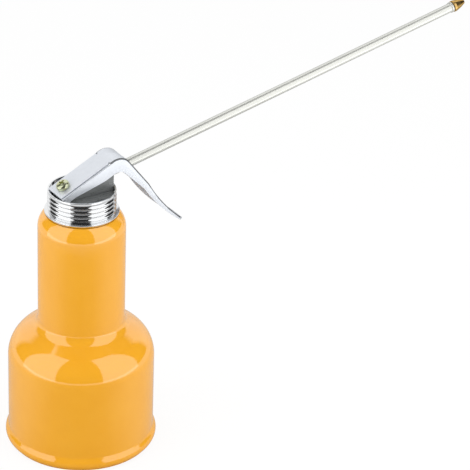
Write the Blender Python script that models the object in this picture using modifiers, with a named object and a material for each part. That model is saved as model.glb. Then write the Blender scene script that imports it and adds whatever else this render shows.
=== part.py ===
"""Pump oil can: a painted steel can with a threaded mouth, and a screw-on pump head with a
squeeze lever and a long straight spout. Metres, +Z up, the spout points along +X. The origin
is the middle of the base disc's underside, on the can's axis."""
import math

import bmesh
import bpy
from mathutils import Matrix, Vector

MM = 0.001

# Fits
GAP = 0.3 * MM                    # between two pieces that seat on each other
THREAD_GAP = 0.45 * MM            # between the mouth's thread and the cap's thread

# Can
RIM_DIAMETER = 90.0 * MM          # over the bead at the foot
RIM_BEAD = 4.0 * MM               # radius of the bead's section
RIM_FLARE_TOP = 8.4 * MM          # where the wall starts to flare, above the table
BASE_RECESS = 1.5 * MM            # the base disc's underside above the table
BODY_DIAMETER = 86.4 * MM
BODY_HEIGHT = 57.9 * MM           # top of the straight wall, above the table
CAN_WALL = 1.0 * MM
DOME_RADIUS = 16.0 * MM           # round from the straight wall to the shoulder
DOME_SLOPE = math.radians(33.2)   # slope of the shoulder between its two rounds
FOOT_FILLET = 8.9 * MM            # round from the shoulder up to the neck
NECK_DIAMETER = 51.1 * MM
NECK_HEIGHT = 140.3 * MM          # top of the straight neck, above the table
NECK_ROUND = 11.4 * MM            # round at the neck's top
SHOULDER_HEIGHT = 149.1 * MM      # flat under the screw cap, above the table
MOUTH_DIAMETER = 34.0 * MM
MOUTH_WALL = 1.6 * MM
MOUTH_HEIGHT = 8.3 * MM           # above the shoulder
DISC_THICKNESS = 1.0 * MM
DISC_SKIRT = 4.0 * MM             # upturned edge of the base disc

# Mouth thread, a round right-handed one
THREAD_PITCH = 2.7 * MM
THREAD_WIRE = 0.8 * MM            # radius of the ridge
THREAD_TURNS = 1.75
THREAD_START = 2.0 * MM           # lower end of the ridge above the shoulder

# Screw cap
CAP_DIAMETER = 39.4 * MM          # over the lip at the top
CAP_RIB_DIAMETER = 39.8 * MM      # over the ribs
CAP_RIB_DEPTH = 0.9 * MM
CAP_RIBS = 4
CAP_LIP_HEIGHT = 1.3 * MM         # plain band above the ribs
CAP_FLANGE_DIAMETER = 43.4 * MM
CAP_FLANGE_HEIGHT = 2.6 * MM
CAP_LIP_WALL = 1.0 * MM
CAP_WEB = 1.2 * MM                # floor that the pump is clamped to
CAP_WEB_DEPTH = 3.7 * MM          # top of that floor below the cap's top
GASKET_THICKNESS = 1.2 * MM
GASKET_WIDTH = 2.0 * MM

# Lever bracket, one stamping: base plate, two side walls and a tab for the screw
PLATE_THICKNESS = 1.0 * MM
PLATE_FLAT = 26.6 * MM            # across the two flats of the base plate
BRACKET_WIDTH = 13.0 * MM         # over the side walls
BRACKET_SHEET = 1.0 * MM
BRACKET_REAR = 15.0 * MM          # rear end of the side walls behind the can's axis
BRACKET_REAR_HEIGHT = 3.2 * MM    # height of the side walls there, above the base plate
BRACKET_FRONT_HEIGHT = 11.6 * MM
TAB_LENGTH = 7.5 * MM
TAB_THICKNESS = 0.9 * MM

# Squeeze lever, one stamping: a channel with a tongue slit free at its rear
LEVER_WIDTH = 16.8 * MM
LEVER_SHEET = 1.0 * MM
LEVER_RANGE = math.radians(7.0)
PIVOT_BACK = 14.8 * MM            # hinge line behind the can's axis
PIVOT_HEIGHT = 0.7 * MM           # hinge line above the base plate
LUG_RADIUS = 1.3 * MM             # rounded arm ends that rock in the base plate's slots
TONGUE_SLOPE = math.radians(25.0)
TONGUE_HEIGHT = 4.08 * MM         # tongue's upper face from the hinge line, square to the face
TONGUE_WIDTH = 14.2 * MM
TONGUE_REAR = 1.6 * MM            # overhang of the tongue behind the foot of that height
NOTCH_REACH = 33.4 * MM           # from that foot to where the slits end
ARM_DROP = 0.35 * MM              # side arms' upper edges below the tongue's face
BEND_REACH = 35.4 * MM            # from that foot to where the bend starts
BEND_RADIUS = 9.0 * MM            # outside
ARM_SLOPE = math.radians(52.4)    # fall of the front arm
ARM_LENGTH = 22.5 * MM            # straight part of the front arm
FINGER_RADIUS = 101.0 * MM        # hollow of the finger rest
FINGER_START = math.radians(61.0) # fall of the finger rest at its upper end
FINGER_END = math.radians(39.0)   # fall at the tip
FINGER_DEPTH = 4.1 * MM           # side wall where the finger rest starts, square to the web
TIP_DEPTH = 1.4 * MM
TIP_ROUND = 5.0 * MM              # corner of the tip, seen from the front
FOLD_RADIUS = 1.0 * MM            # outside of the fold between web and side walls
SLIT_WIDTH = 6.6 * MM             # slot in the front web that the spout passes through
SLIT_CLEARANCE = 0.4 * MM

# Lower edge of the lever's side walls, as forward and up: under the bend from the bend's
# centre, then along the arms from the hinge line, and behind it where they pass over the cap's lip
BEND_EDGE = ((3.2, -0.1), (1.1, 0.45), (-1.5, 0.4), (-3.2, -0.3), (-5.5, -1.5))
ARM_EDGE = ((25.4, 7.5), (15.4, 4.6), (6.0, 2.0))
ARM_REAR = (-1.55, 2.05)

# Lever screw, M4 pan head, and its nut
SCREW_BACK = 4.5 * MM             # from the foot of the tongue's height, along the tongue
SCREW_DIAMETER = 4.0 * MM
SCREW_HEAD_DIAMETER = 7.8 * MM
SCREW_HEAD_HEIGHT = 2.6 * MM
SCREW_HOLE_PLAY = 1.5 * MM        # the tongue's hole is this much wider than the screw
RECESS_LENGTH = 4.4 * MM          # cross recess
RECESS_WIDTH = 1.1 * MM
RECESS_DEPTH = 1.5 * MM
TAB_START = 1.0 * MM              # from the foot of the tongue's height, along the tongue
SCREW_NUT_WIDTH = 6.4 * MM
SCREW_NUT_HEIGHT = 1.5 * MM
SCREW_REACH = 0.2 * MM            # of the screw past its nut

# Spout
SPOUT_RISE = math.radians(12.2)
SPOUT_HEIGHT = 4.7 * MM           # its line above the base plate on the can's axis
SPOUT_DIAMETER = 5.6 * MM
SPOUT_BORE = 3.6 * MM
SPOUT_LENGTH = 259.0 * MM
SPOUT_START = 7.8 * MM            # from the can's axis
LIP_DIAMETER = 6.6 * MM           # rolled lip at the tube's end
LIP_LENGTH = 1.4 * MM
NOZZLE_DIAMETER = 7.0 * MM
NOZZLE_LENGTH = 8.7 * MM
NOZZLE_TIP_DIAMETER = 2.6 * MM
NOZZLE_BORE = 1.4 * MM
NOZZLE_SHANK_LENGTH = 5.0 * MM
OLIVE_LENGTH = 1.5 * MM
SPOUT_NUT_WIDTH = 9.0 * MM        # across flats
SPOUT_NUT_LENGTH = 5.0 * MM

# Pump head block
BLOCK_WIDTH = 9.2 * MM
BLOCK_REAR = 5.2 * MM
BLOCK_HEIGHT = 4.2 * MM
BOSS_DIAMETER = 8.0 * MM
BOSS_START = 5.4 * MM             # from the can's axis, along the spout
BOSS_END = 11.0 * MM
PORT_DIAMETER = 1.2 * MM          # level drilling from the pump's chamber
RISING_PORT_DIAMETER = 1.6 * MM   # drilling from there up to the spout
CHAMBER_DIAMETER = 5.6 * MM
CHAMBER_HEIGHT = 1.0 * MM
GLAND_WALL = 0.4 * MM             # floor under the packing
GLAND_DIAMETER = 6.0 * MM
PACKING_HEIGHT = 0.8 * MM
GLAND_NUT_DIAMETER = 7.2 * MM
GLAND_NUT_HEAD = 1.0 * MM

# Pump barrel and what runs in it
BARREL_NECK_DIAMETER = 7.2 * MM
BARREL_NECK_BORE = 5.0 * MM
BARREL_FLANGE_DIAMETER = 16.0 * MM
BARREL_FLANGE_HEIGHT = 1.5 * MM
BARREL_WASHER_HEIGHT = 0.7 * MM
BARREL_DIAMETER = 12.4 * MM
BARREL_BORE = 10.0 * MM
BARREL_LENGTH = 28.6 * MM         # under its flange
BARREL_TOP_WALL = 1.5 * MM
ROD_DIAMETER = 3.0 * MM
ROD_COLLAR_DIAMETER = 4.6 * MM
ROD_COLLAR_HEIGHT = 1.0 * MM
ROD_COLLAR_DROP = 4.1 * MM        # top of the rod's collar below the barrel's ceiling, at rest
BUTTON_DIAMETER = 7.0 * MM
BUTTON_DOME = 6.0 * MM            # radius of the button's domed top
BUTTON_HEIGHT = 1.9 * MM
BUTTON_SOCKET = 0.9 * MM
PISTON_DISC_DIAMETER = 7.2 * MM
PISTON_DISC_HEIGHT = 1.5 * MM
CUP_WALL = 0.8 * MM
CUP_HEIGHT = 3.2 * MM
PISTON_WASHER_DIAMETER = 8.8 * MM
PISTON_WASHER_HEIGHT = 0.8 * MM
PISTON_NUT_WIDTH = 5.0 * MM
PISTON_NUT_HEIGHT = 1.9 * MM
SPRING_DIAMETER = 7.4 * MM        # mean
SPRING_WIRE = 0.8 * MM
SPRING_TURNS = 5.5

# Foot valve, suction tube and strainer
VALVE_PLUG_LENGTH = 6.4 * MM
VALVE_FLANGE_HEIGHT = 1.8 * MM
VALVE_PORT = 2.4 * MM
VALVE_CHAMBER = 5.4 * MM
VALVE_CHAMBER_DEPTH = 5.1 * MM
VALVE_TAIL_DIAMETER = 3.8 * MM
VALVE_TAIL_LENGTH = 6.0 * MM
VALVE_TAIL_BORE = 2.0 * MM
BALL_DIAMETER = 4.0 * MM
RETAINER_HEIGHT = 0.8 * MM
RETAINER_HOLE = 2.6 * MM
SUCTION_DIAMETER = 6.0 * MM
SUCTION_BORE = 4.4 * MM
STRAINER_CLEARANCE = 2.0 * MM     # above the base disc
STRAINER_HEIGHT = 9.0 * MM
STRAINER_WALL = 0.8 * MM
STRAINER_SLOT = 1.2 * MM
STRAINER_SLOT_HEIGHT = 4.0 * MM
STRAINER_OVERLAP = 5.0 * MM       # of the suction tube inside the strainer

# Heights above the origin that several pieces share
TABLE = -BASE_RECESS
SHOULDER = TABLE + SHOULDER_HEIGHT
MOUTH_TOP = SHOULDER + MOUTH_HEIGHT
WEB_BOTTOM = MOUTH_TOP + GASKET_THICKNESS + 2 * GAP
WEB_TOP = WEB_BOTTOM + CAP_WEB
CAP_BOTTOM = SHOULDER + GAP
CAP_TOP = WEB_TOP + CAP_WEB_DEPTH
PLATE_BOTTOM = WEB_TOP + GAP
PLATE_TOP = PLATE_BOTTOM + PLATE_THICKNESS
BLOCK_BOTTOM = PLATE_TOP + GAP
BLOCK_TOP = BLOCK_BOTTOM + BLOCK_HEIGHT
FLANGE_TOP = WEB_BOTTOM - 2 * GAP - BARREL_WASHER_HEIGHT
FLANGE_BOTTOM = FLANGE_TOP - BARREL_FLANGE_HEIGHT
BARREL_CEILING = FLANGE_BOTTOM - BARREL_TOP_WALL
BARREL_BOTTOM = FLANGE_BOTTOM - BARREL_LENGTH
VALVE_TOP = BARREL_BOTTOM + VALVE_PLUG_LENGTH
RETAINER_BOTTOM = VALVE_TOP + GAP
SPRING_BOTTOM = RETAINER_BOTTOM + RETAINER_HEIGHT + GAP
COLLAR_TOP = BARREL_CEILING - ROD_COLLAR_DROP
COLLAR_BOTTOM = COLLAR_TOP - ROD_COLLAR_HEIGHT
DISC_TOP = COLLAR_BOTTOM - GAP
CUP_BOTTOM = DISC_TOP - PISTON_DISC_HEIGHT - GAP - CUP_WALL
WASHER_TOP = CUP_BOTTOM - GAP
NUT_TOP = WASHER_TOP - PISTON_WASHER_HEIGHT - GAP
SPRING_TOP = NUT_TOP
CHAMBER_FLOOR = BLOCK_BOTTOM + 1.5 * MM
GLAND_FLOOR = CHAMBER_FLOOR + CHAMBER_HEIGHT + GLAND_WALL

# The lever's hinge line, and the foot of the tongue's height on it
PIVOT = Vector((-PIVOT_BACK, 0.0, PLATE_TOP + PIVOT_HEIGHT))
TONGUE_ALONG = Vector((math.cos(TONGUE_SLOPE), 0.0, math.sin(TONGUE_SLOPE)))
TONGUE_UP = Vector((-math.sin(TONGUE_SLOPE), 0.0, math.cos(TONGUE_SLOPE)))
TONGUE_FOOT = PIVOT + TONGUE_UP * TONGUE_HEIGHT
SPOUT_ORIGIN = Vector((0.0, 0.0, PLATE_TOP + SPOUT_HEIGHT))

# Depths below the tongue's face: the tab clears the tongue when the lever is fully squeezed
TAB_DEPTH = LEVER_SHEET + (TAB_START + TAB_LENGTH) * math.tan(LEVER_RANGE) + GAP
NUT_DEPTH = TAB_DEPTH + TAB_THICKNESS + GAP

# Segments round a turned piece
FINE = 40
MEDIUM = 32
SMALL = 20

for old in list(bpy.data.objects):
    bpy.data.objects.remove(old, do_unlink=True)

parts = bpy.data.collections.new("pump_oil_can")
cutters = bpy.data.collections.new("cutters")
bpy.context.scene.collection.children.link(parts)
bpy.context.scene.collection.children.link(cutters)


def material(name, colour, roughness, metallic):
    """A Principled material."""
    made = bpy.data.materials.new(name)
    made.use_nodes = True
    shader = made.node_tree.nodes["Principled BSDF"]
    shader.inputs["Base Color"].default_value = (*colour, 1.0)
    shader.inputs["Roughness"].default_value = roughness
    shader.inputs["Metallic"].default_value = metallic
    return made


PAINT = material("orange_yellow_paint", (0.86, 0.39, 0.035), 0.28, 0.0)
CHROME = material("bright_chrome", (0.82, 0.83, 0.84), 0.12, 1.0)
ZINC = material("bright_zinc", (0.72, 0.75, 0.78), 0.3, 1.0)
DARK_STEEL = material("dark_brushed_steel", (0.14, 0.15, 0.16), 0.42, 1.0)
YELLOW_ZINC = material("yellow_zinc", (0.62, 0.56, 0.25), 0.28, 1.0)
BRASS = material("brass", (0.72, 0.48, 0.16), 0.25, 1.0)
STEEL = material("plain_steel", (0.56, 0.57, 0.58), 0.25, 1.0)
RUBBER = material("black_rubber", (0.02, 0.02, 0.02), 0.7, 0.0)
FIBRE = material("red_fibre", (0.35, 0.06, 0.04), 0.75, 0.0)
PLASTIC = material("clear_white_plastic", (0.75, 0.77, 0.76), 0.45, 0.0)


def empty(name, location, tilt=0.0):
    """An empty on a joint's axis or on the spout's line; tilt turns it about Y."""
    made = bpy.data.objects.new(name, None)
    made.location = location
    made.rotation_euler = (0.0, tilt, 0.0)
    parts.objects.link(made)
    return made


def add(name, mesh, made_of, parent=None, collection=parts):
    """A new object from a mesh, kept in the parent's own frame when it has a parent."""
    made = bpy.data.objects.new(name, mesh)
    collection.objects.link(made)
    if made_of:
        mesh.materials.clear()
        mesh.materials.append(made_of)
    made.parent = parent
    if collection is cutters:
        made.hide_render = True
        made.display_type = "WIRE"
    return made


def stay_in_place(made, parent):
    """Parents an object whose mesh is in world coordinates."""
    made.parent = parent
    made.matrix_parent_inverse = Matrix.Translation(parent.location).inverted()


def arc(centre, radius, start, end, steps):
    """Points of an arc, both ends included, angles in radians."""
    turns = [start + (end - start) * i / steps for i in range(steps + 1)]
    return [(centre[0] + radius * math.cos(t), centre[1] + radius * math.sin(t)) for t in turns]


def lathe(name, profile, made_of, steps=MEDIUM, parent=None, collection=parts):
    """A piece turned about Z. A profile that starts and ends on the axis is left open there."""
    mesh = bpy.data.meshes.new(name)
    form = bmesh.new()
    points = [form.verts.new((r, 0.0, z)) for r, z in profile]
    on_axis = profile[0][0] == 0.0 and profile[-1][0] == 0.0
    for first, second in zip(points, points[1:] if on_axis else points[1:] + points[:1]):
        form.edges.new((first, second))
    form.to_mesh(mesh)
    form.free()
    made = add(name, mesh, made_of, parent, collection)
    turn = made.modifiers.new("turned", "SCREW")
    turn.steps = steps
    turn.render_steps = steps
    turn.use_merge_vertices = True
    turn.merge_threshold = 0.00001
    turn.use_normal_calculate = False
    return made


def tube(name, top, bottom, outer, inner, made_of, steps=MEDIUM, parent=None):
    """A plain ring, washer or pipe between two heights; outer and inner are diameters."""
    profile = [(outer / 2, top), (outer / 2, bottom), (inner / 2, bottom), (inner / 2, top)]
    return lathe(name, profile, made_of, steps, parent)


def cylinder(name, diameter, start, end, made_of=None, sides=MEDIUM, turn=0.0, collection=cutters):
    """A cylinder or prism from one point to another."""
    axis = end - start
    mesh = bpy.data.meshes.new(name)
    form = bmesh.new()
    bmesh.ops.create_cone(form, cap_ends=True, segments=sides, radius1=diameter / 2,
                          radius2=diameter / 2, depth=axis.length)
    upright = axis.to_track_quat("Z", "X").to_matrix().to_4x4()
    place = Matrix.Translation((start + end) / 2) @ upright @ Matrix.Rotation(turn, 4, "Z")
    bmesh.ops.transform(form, matrix=place, verts=form.verts)
    form.to_mesh(mesh)
    form.free()
    return add(name, mesh, made_of, None, collection)


def box(name, low, high, made_of=None, collection=cutters, parent=None):
    """A box between two corners."""
    mesh = bpy.data.meshes.new(name)
    form = bmesh.new()
    bmesh.ops.create_cube(form, size=1.0)
    size = Vector(high) - Vector(low)
    middle = (Vector(high) + Vector(low)) / 2
    bmesh.ops.transform(form, matrix=Matrix.Translation(middle) @ Matrix.Diagonal((*size, 1.0)),
                        verts=form.verts)
    form.to_mesh(mesh)
    form.free()
    return add(name, mesh, made_of, parent, collection)


def plate(name, outline, y_low, y_high, made_of=None, collection=cutters):
    """A flat piece: an outline of (x, z) points, filled and extruded across Y."""
    curve = bpy.data.curves.new(name, "CURVE")
    curve.dimensions = "2D"
    curve.fill_mode = "BOTH"
    curve.extrude = (y_high - y_low) / 2
    spline = curve.splines.new("POLY")
    spline.points.add(len(outline) - 1)
    for point, (x, z) in zip(spline.points, outline):
        point.co = (x, z, 0.0, 1.0)
    spline.use_cyclic_u = True
    flat = bpy.data.objects.new(name, curve)
    cutters.objects.link(flat)
    upright = Matrix.Rotation(math.pi / 2, 4, "X")
    place = Matrix.Translation((0.0, (y_low + y_high) / 2, 0.0)) @ upright
    return from_curve(flat, made_of, collection, place)


def from_curve(source, made_of, collection, place=None):
    """Turns a curve object into a closed mesh object and removes the curve."""
    name = source.name
    bpy.context.view_layer.update()
    evaluated = source.evaluated_get(bpy.context.evaluated_depsgraph_get())
    mesh = bpy.data.meshes.new_from_object(evaluated)
    curve = source.data
    bpy.data.objects.remove(source, do_unlink=True)
    bpy.data.curves.remove(curve)
    form = bmesh.new()
    form.from_mesh(mesh)
    if place is not None:
        bmesh.ops.transform(form, matrix=place, verts=form.verts)
    bmesh.ops.remove_doubles(form, verts=form.verts, dist=0.000001)
    bmesh.ops.dissolve_limit(form, angle_limit=0.001, verts=form.verts, edges=form.edges)
    bmesh.ops.recalc_face_normals(form, faces=form.faces)
    form.to_mesh(mesh)
    form.free()
    mesh.name = name
    return add(name, mesh, made_of, None, collection)


def wire(name, points, radius, resolution, made_of=None, collection=cutters):
    """A round wire along a list of points."""
    curve = bpy.data.curves.new(name, "CURVE")
    curve.dimensions = "3D"
    curve.bevel_depth = radius
    curve.bevel_resolution = resolution
    curve.use_fill_caps = True
    spline = curve.splines.new("POLY")
    spline.points.add(len(points) - 1)
    for point, place in zip(spline.points, points):
        point.co = (*place, 1.0)
    source = bpy.data.objects.new(name, curve)
    cutters.objects.link(source)
    return from_curve(source, made_of, collection)


def boolean(target, tools, operation):
    """Adds exact Boolean modifiers to a piece, one for each tool."""
    for tool in tools:
        step = target.modifiers.new(tool.name, "BOOLEAN")
        step.operation = operation
        step.solver = "EXACT"
        step.object = tool


def cut(target, *tools):
    boolean(target, tools, "DIFFERENCE")


def join(target, *tools):
    boolean(target, tools, "UNION")


def mirrored(tool):
    """The same cutter or wall on the other side of the lever's middle plane."""
    mesh = tool.data.copy()
    form = bmesh.new()
    form.from_mesh(mesh)
    bmesh.ops.transform(form, matrix=Matrix.Diagonal((1.0, -1.0, 1.0, 1.0)), verts=form.verts)
    bmesh.ops.reverse_faces(form, faces=form.faces)
    form.to_mesh(mesh)
    form.free()
    return add(tool.name + "_far", mesh, None, None, cutters)


def helix(radius, low, high, per_turn):
    """Points of the mouth's thread line between two heights, right-handed."""
    steps = max(2, round((high - low) / THREAD_PITCH * per_turn))
    points = []
    for i in range(steps + 1):
        z = low + (high - low) * i / steps
        turn = 2 * math.pi * (z - SHOULDER - THREAD_START) / THREAD_PITCH
        points.append((radius * math.cos(turn), radius * math.sin(turn), z))
    return points


def on_spout(distance, side=0.0, up=0.0):
    """A point by its distance along the spout's line, to its left and above it."""
    along = Vector((math.cos(SPOUT_RISE), 0.0, math.sin(SPOUT_RISE)))
    above = Vector((-math.sin(SPOUT_RISE), 0.0, math.cos(SPOUT_RISE)))
    return SPOUT_ORIGIN + along * distance + Vector((0.0, side, 0.0)) + above * up


def on_tongue(distance, depth=0.0):
    """A point by its distance along the tongue from its foot, and its depth below the face."""
    return TONGUE_FOOT + TONGUE_ALONG * distance - TONGUE_UP * depth


def flat_points(points):
    """Points as (x, z), for an outline seen from the side."""
    return [(p.x, p.z) for p in points]


# Can

def can_side(inset):
    """The can's wall from the mouth's foot to the flare, moved inwards by inset."""
    body, neck = BODY_DIAMETER / 2, NECK_DIAMETER / 2
    dome = (body - DOME_RADIUS, TABLE + BODY_HEIGHT)
    dome_end = arc(dome, DOME_RADIUS, 0.0, math.pi / 2 - DOME_SLOPE, 1)[-1]
    fillet_x = neck + FOOT_FILLET
    rise = (dome_end[0] - fillet_x) * math.tan(DOME_SLOPE) + FOOT_FILLET / math.cos(DOME_SLOPE)
    fillet = (fillet_x, dome_end[1] + rise)
    top = (neck - NECK_ROUND, TABLE + NECK_HEIGHT)
    top_radius = NECK_ROUND - inset
    top_turn = math.asin((SHOULDER - inset - top[1]) / top_radius)
    points = arc(top, top_radius, top_turn, 0.0, 5)
    points += arc(fillet, FOOT_FILLET + inset, math.pi, 1.5 * math.pi - DOME_SLOPE, 5)
    points += arc(dome, DOME_RADIUS - inset, math.pi / 2 - DOME_SLOPE, 0.0, 6)
    return points


def can_body():
    mouth, rim, body = MOUTH_DIAMETER / 2, RIM_DIAMETER / 2, BODY_DIAMETER / 2
    bead = (rim - RIM_BEAD, TABLE + RIM_BEAD)
    outer = [(mouth - 0.4 * MM, MOUTH_TOP), (mouth, MOUTH_TOP - 0.4 * MM)]
    outer += [(mouth, SHOULDER)]
    outer += can_side(0.0)
    outer += [(body, TABLE + RIM_FLARE_TOP), (body + 0.35 * MM, TABLE + RIM_FLARE_TOP - 0.9 * MM)]
    outer += arc(bead, RIM_BEAD, math.radians(42), math.radians(-60), 7)
    outer += [(bead[0] + RIM_BEAD * 0.45, TABLE)]
    inner = [(body - CAN_WALL, TABLE), *reversed(can_side(CAN_WALL))]
    inner += [(mouth - MOUTH_WALL, SHOULDER - CAN_WALL), (mouth - MOUTH_WALL, MOUTH_TOP)]
    can = lathe("can_body", outer + inner, PAINT, FINE)
    start = SHOULDER + THREAD_START
    ridge = wire("mouth_thread", helix(mouth, start, start + THREAD_TURNS * THREAD_PITCH, 24),
                 THREAD_WIRE, 1)
    join(can, ridge)


def base_disc():
    outer = BODY_DIAMETER / 2 - CAN_WALL - GAP
    inner = outer - DISC_THICKNESS
    corner = 0.6 * MM
    profile = [(0.0, DISC_THICKNESS), (inner, DISC_THICKNESS), (inner, DISC_SKIRT)]
    profile += [(outer, DISC_SKIRT), (outer, corner), (outer - corner, 0.0), (0.0, 0.0)]
    lathe("base_disc", profile, PAINT, FINE)


# Head: cap, gasket and bracket

def cap_gasket():
    outer = MOUTH_DIAMETER
    bottom = MOUTH_TOP + GAP
    tube("cap_gasket", bottom + GASKET_THICKNESS, bottom, outer, outer - 2 * GASKET_WIDTH, RUBBER)


def cap_profile():
    lip, rib, flange = CAP_DIAMETER / 2, CAP_RIB_DIAMETER / 2, CAP_FLANGE_DIAMETER / 2
    trough = rib - CAP_RIB_DEPTH
    top_round, flange_round = 0.6 * MM, 0.7 * MM
    ribs_low = CAP_BOTTOM + CAP_FLANGE_HEIGHT
    rib_pitch = (CAP_TOP - CAP_LIP_HEIGHT - ribs_low) / CAP_RIBS
    points = [(lip - top_round, CAP_TOP), (lip, CAP_TOP - top_round)]
    for i in range(CAP_RIBS, 0, -1):
        high = ribs_low + rib_pitch * i
        points += [(trough, high), (rib, high - 0.25 * rib_pitch), (rib, high - 0.75 * rib_pitch)]
    points += [(trough, ribs_low), (flange, ribs_low - flange_round * 1.6)]
    points += [(flange, CAP_BOTTOM + flange_round), (flange - flange_round, CAP_BOTTOM)]
    bore = MOUTH_DIAMETER / 2 + THREAD_GAP
    post = BARREL_NECK_DIAMETER / 2 + GAP
    recess = lip - CAP_LIP_WALL
    points += [(bore, CAP_BOTTOM), (bore, WEB_BOTTOM), (post, WEB_BOTTOM), (post, WEB_TOP)]
    points += [(recess, WEB_TOP), (recess, CAP_TOP)]
    return points


def screw_cap(parent):
    cap = lathe("screw_cap", cap_profile(), CHROME, FINE)
    start = SHOULDER + THREAD_START
    low = CAP_BOTTOM - THREAD_WIRE - 2 * THREAD_GAP
    high = start + (THREAD_TURNS + 0.25) * THREAD_PITCH
    groove = wire("cap_thread", helix(MOUTH_DIAMETER / 2, low, high, 24), THREAD_WIRE + THREAD_GAP, 1)
    cut(cap, groove)
    stay_in_place(cap, parent)


def lever_bracket(parent):
    recess = CAP_DIAMETER / 2 - CAP_LIP_WALL
    radius = recess - GAP
    half = BRACKET_WIDTH / 2
    low, high = PLATE_BOTTOM - MM, PLATE_TOP + MM
    base = cylinder("lever_bracket", 2 * radius, Vector((0, 0, PLATE_BOTTOM)), Vector((0, 0, PLATE_TOP)),
                    DARK_STEEL, FINE, 0.0, parts)
    flat = box("plate_flat", (-radius, PLATE_FLAT / 2, low), (radius, radius + MM, high))
    front = math.sqrt(radius ** 2 - half ** 2)
    foot = PLATE_BOTTOM + PLATE_THICKNESS / 2
    outline = [(-BRACKET_REAR, foot), (front, foot), (front, PLATE_TOP + BRACKET_FRONT_HEIGHT)]
    outline += [(front - 2.0 * MM, PLATE_TOP + BRACKET_FRONT_HEIGHT)]
    outline += [(-BRACKET_REAR, PLATE_TOP + BRACKET_REAR_HEIGHT)]
    wall = plate("bracket_wall", outline, half - BRACKET_SHEET, half)
    end = TAB_START + TAB_LENGTH
    corners = [on_tongue(TAB_START, TAB_DEPTH), on_tongue(end, TAB_DEPTH)]
    corners += [on_tongue(end, TAB_DEPTH + TAB_THICKNESS), on_tongue(TAB_START, TAB_DEPTH + TAB_THICKNESS)]
    side = half - BRACKET_SHEET / 2
    tab = plate("screw_tab", flat_points(corners), -side, side)
    post = cylinder("plate_hole", BARREL_NECK_DIAMETER + 2 * GAP, Vector((0, 0, low)), Vector((0, 0, high)))
    above, below = on_tongue(SCREW_BACK), on_tongue(SCREW_BACK, 6 * MM)
    screw = cylinder("tab_hole", SCREW_DIAMETER + 2 * GAP, above, below)
    reach = LUG_RADIUS + 2 * GAP
    lug_low = LEVER_WIDTH / 2 - LEVER_SHEET - GAP
    slot = box("lug_slot", (PIVOT.x - reach, lug_low, low), (PIVOT.x + reach, LEVER_WIDTH / 2 + GAP, high))
    join(base, wall, mirrored(wall), tab)
    cut(base, flat, mirrored(flat), post, screw, slot, mirrored(slot))
    stay_in_place(base, parent)


# Squeeze lever

def turned_by(vector, angle):
    """A vector in the XZ plane, turned so that its front rises."""
    x, z = vector.x, vector.z
    forward = x * math.cos(angle) - z * math.sin(angle)
    return Vector((forward, 0.0, x * math.sin(angle) + z * math.cos(angle)))


def bend_centre():
    return on_tongue(BEND_REACH) - TONGUE_UP * BEND_RADIUS


def web_line(inset):
    """The web's outer line from the bend to the tip, moved inwards by inset, as (x, z)."""
    centre = bend_centre()
    points = []
    turns = [TONGUE_SLOPE - (TONGUE_SLOPE + ARM_SLOPE) * i / 8 for i in range(9)]
    for turn in turns:
        points.append(centre + Vector((-math.sin(turn), 0.0, math.cos(turn))) * (BEND_RADIUS - inset))
    fall = Vector((math.cos(ARM_SLOPE), 0.0, -math.sin(ARM_SLOPE)))
    out = Vector((math.sin(ARM_SLOPE), 0.0, math.cos(ARM_SLOPE)))
    knee = centre + out * BEND_RADIUS + fall * ARM_LENGTH
    hollow = knee + Vector((math.sin(FINGER_START), 0.0, math.cos(FINGER_START))) * FINGER_RADIUS
    for i in range(9):
        turn = FINGER_START + (FINGER_END - FINGER_START) * i / 8
        out = Vector((math.sin(turn), 0.0, math.cos(turn)))
        points.append(hollow - out * (FINGER_RADIUS + inset))
    return flat_points(points)


def lever_depth_line():
    """The side wall's lower edge from the tip back to the rounded rear end, as (x, z)."""
    finger = [Vector((x, 0.0, z)) for x, z in web_line(0.0)[9:]]
    points = []
    for i, here in enumerate(reversed(finger)):
        share = i / (len(finger) - 1)
        turn = FINGER_END + (FINGER_START - FINGER_END) * share
        depth = TIP_DEPTH + (FINGER_DEPTH - TIP_DEPTH) * share
        points.append(here - Vector((math.sin(turn), 0.0, math.cos(turn))) * depth)
    points += [bend_centre() + Vector((x, 0.0, z)) * MM for x, z in BEND_EDGE]
    points += [PIVOT + Vector((x, 0.0, z)) * MM for x, z in ARM_EDGE]
    return flat_points(points)


def lever_outline():
    """The whole lever from the side before its channel is cut, as (x, z)."""
    over_lip = PIVOT + Vector((ARM_REAR[0], 0.0, ARM_REAR[1])) * MM
    rear = [over_lip, on_tongue(-TONGUE_REAR, 1.1 * LEVER_SHEET), on_tongue(-TONGUE_REAR)]
    lug = arc((PIVOT.x, PIVOT.z), LUG_RADIUS, math.radians(-20), math.radians(-240), 7)
    return flat_points(rear) + web_line(0.0) + lever_depth_line() + lug


def fold_the_web(lever):
    """Rounds the long outer corners between the web and the side walls."""
    folded = lever_outline()[2:len(web_line(0.0)) + 3]
    line = [tuple(round(c, 6) for c in point) for point in folded]
    weights = lever.data.attributes.new("bevel_weight_edge", "FLOAT", "EDGE")
    places = [vertex.co for vertex in lever.data.vertices]
    for edge in lever.data.edges:
        ends = [places[v] for v in edge.vertices]
        same_side = abs(ends[0].y - ends[1].y) < 1e-6
        if same_side and all((round(end.x, 6), round(end.z, 6)) in line for end in ends):
            weights.data[edge.index].value = 1.0
    fold = lever.modifiers.new("fold", "BEVEL")
    fold.limit_method = "WEIGHT"
    fold.width = FOLD_RADIUS
    fold.segments = 2


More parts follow.
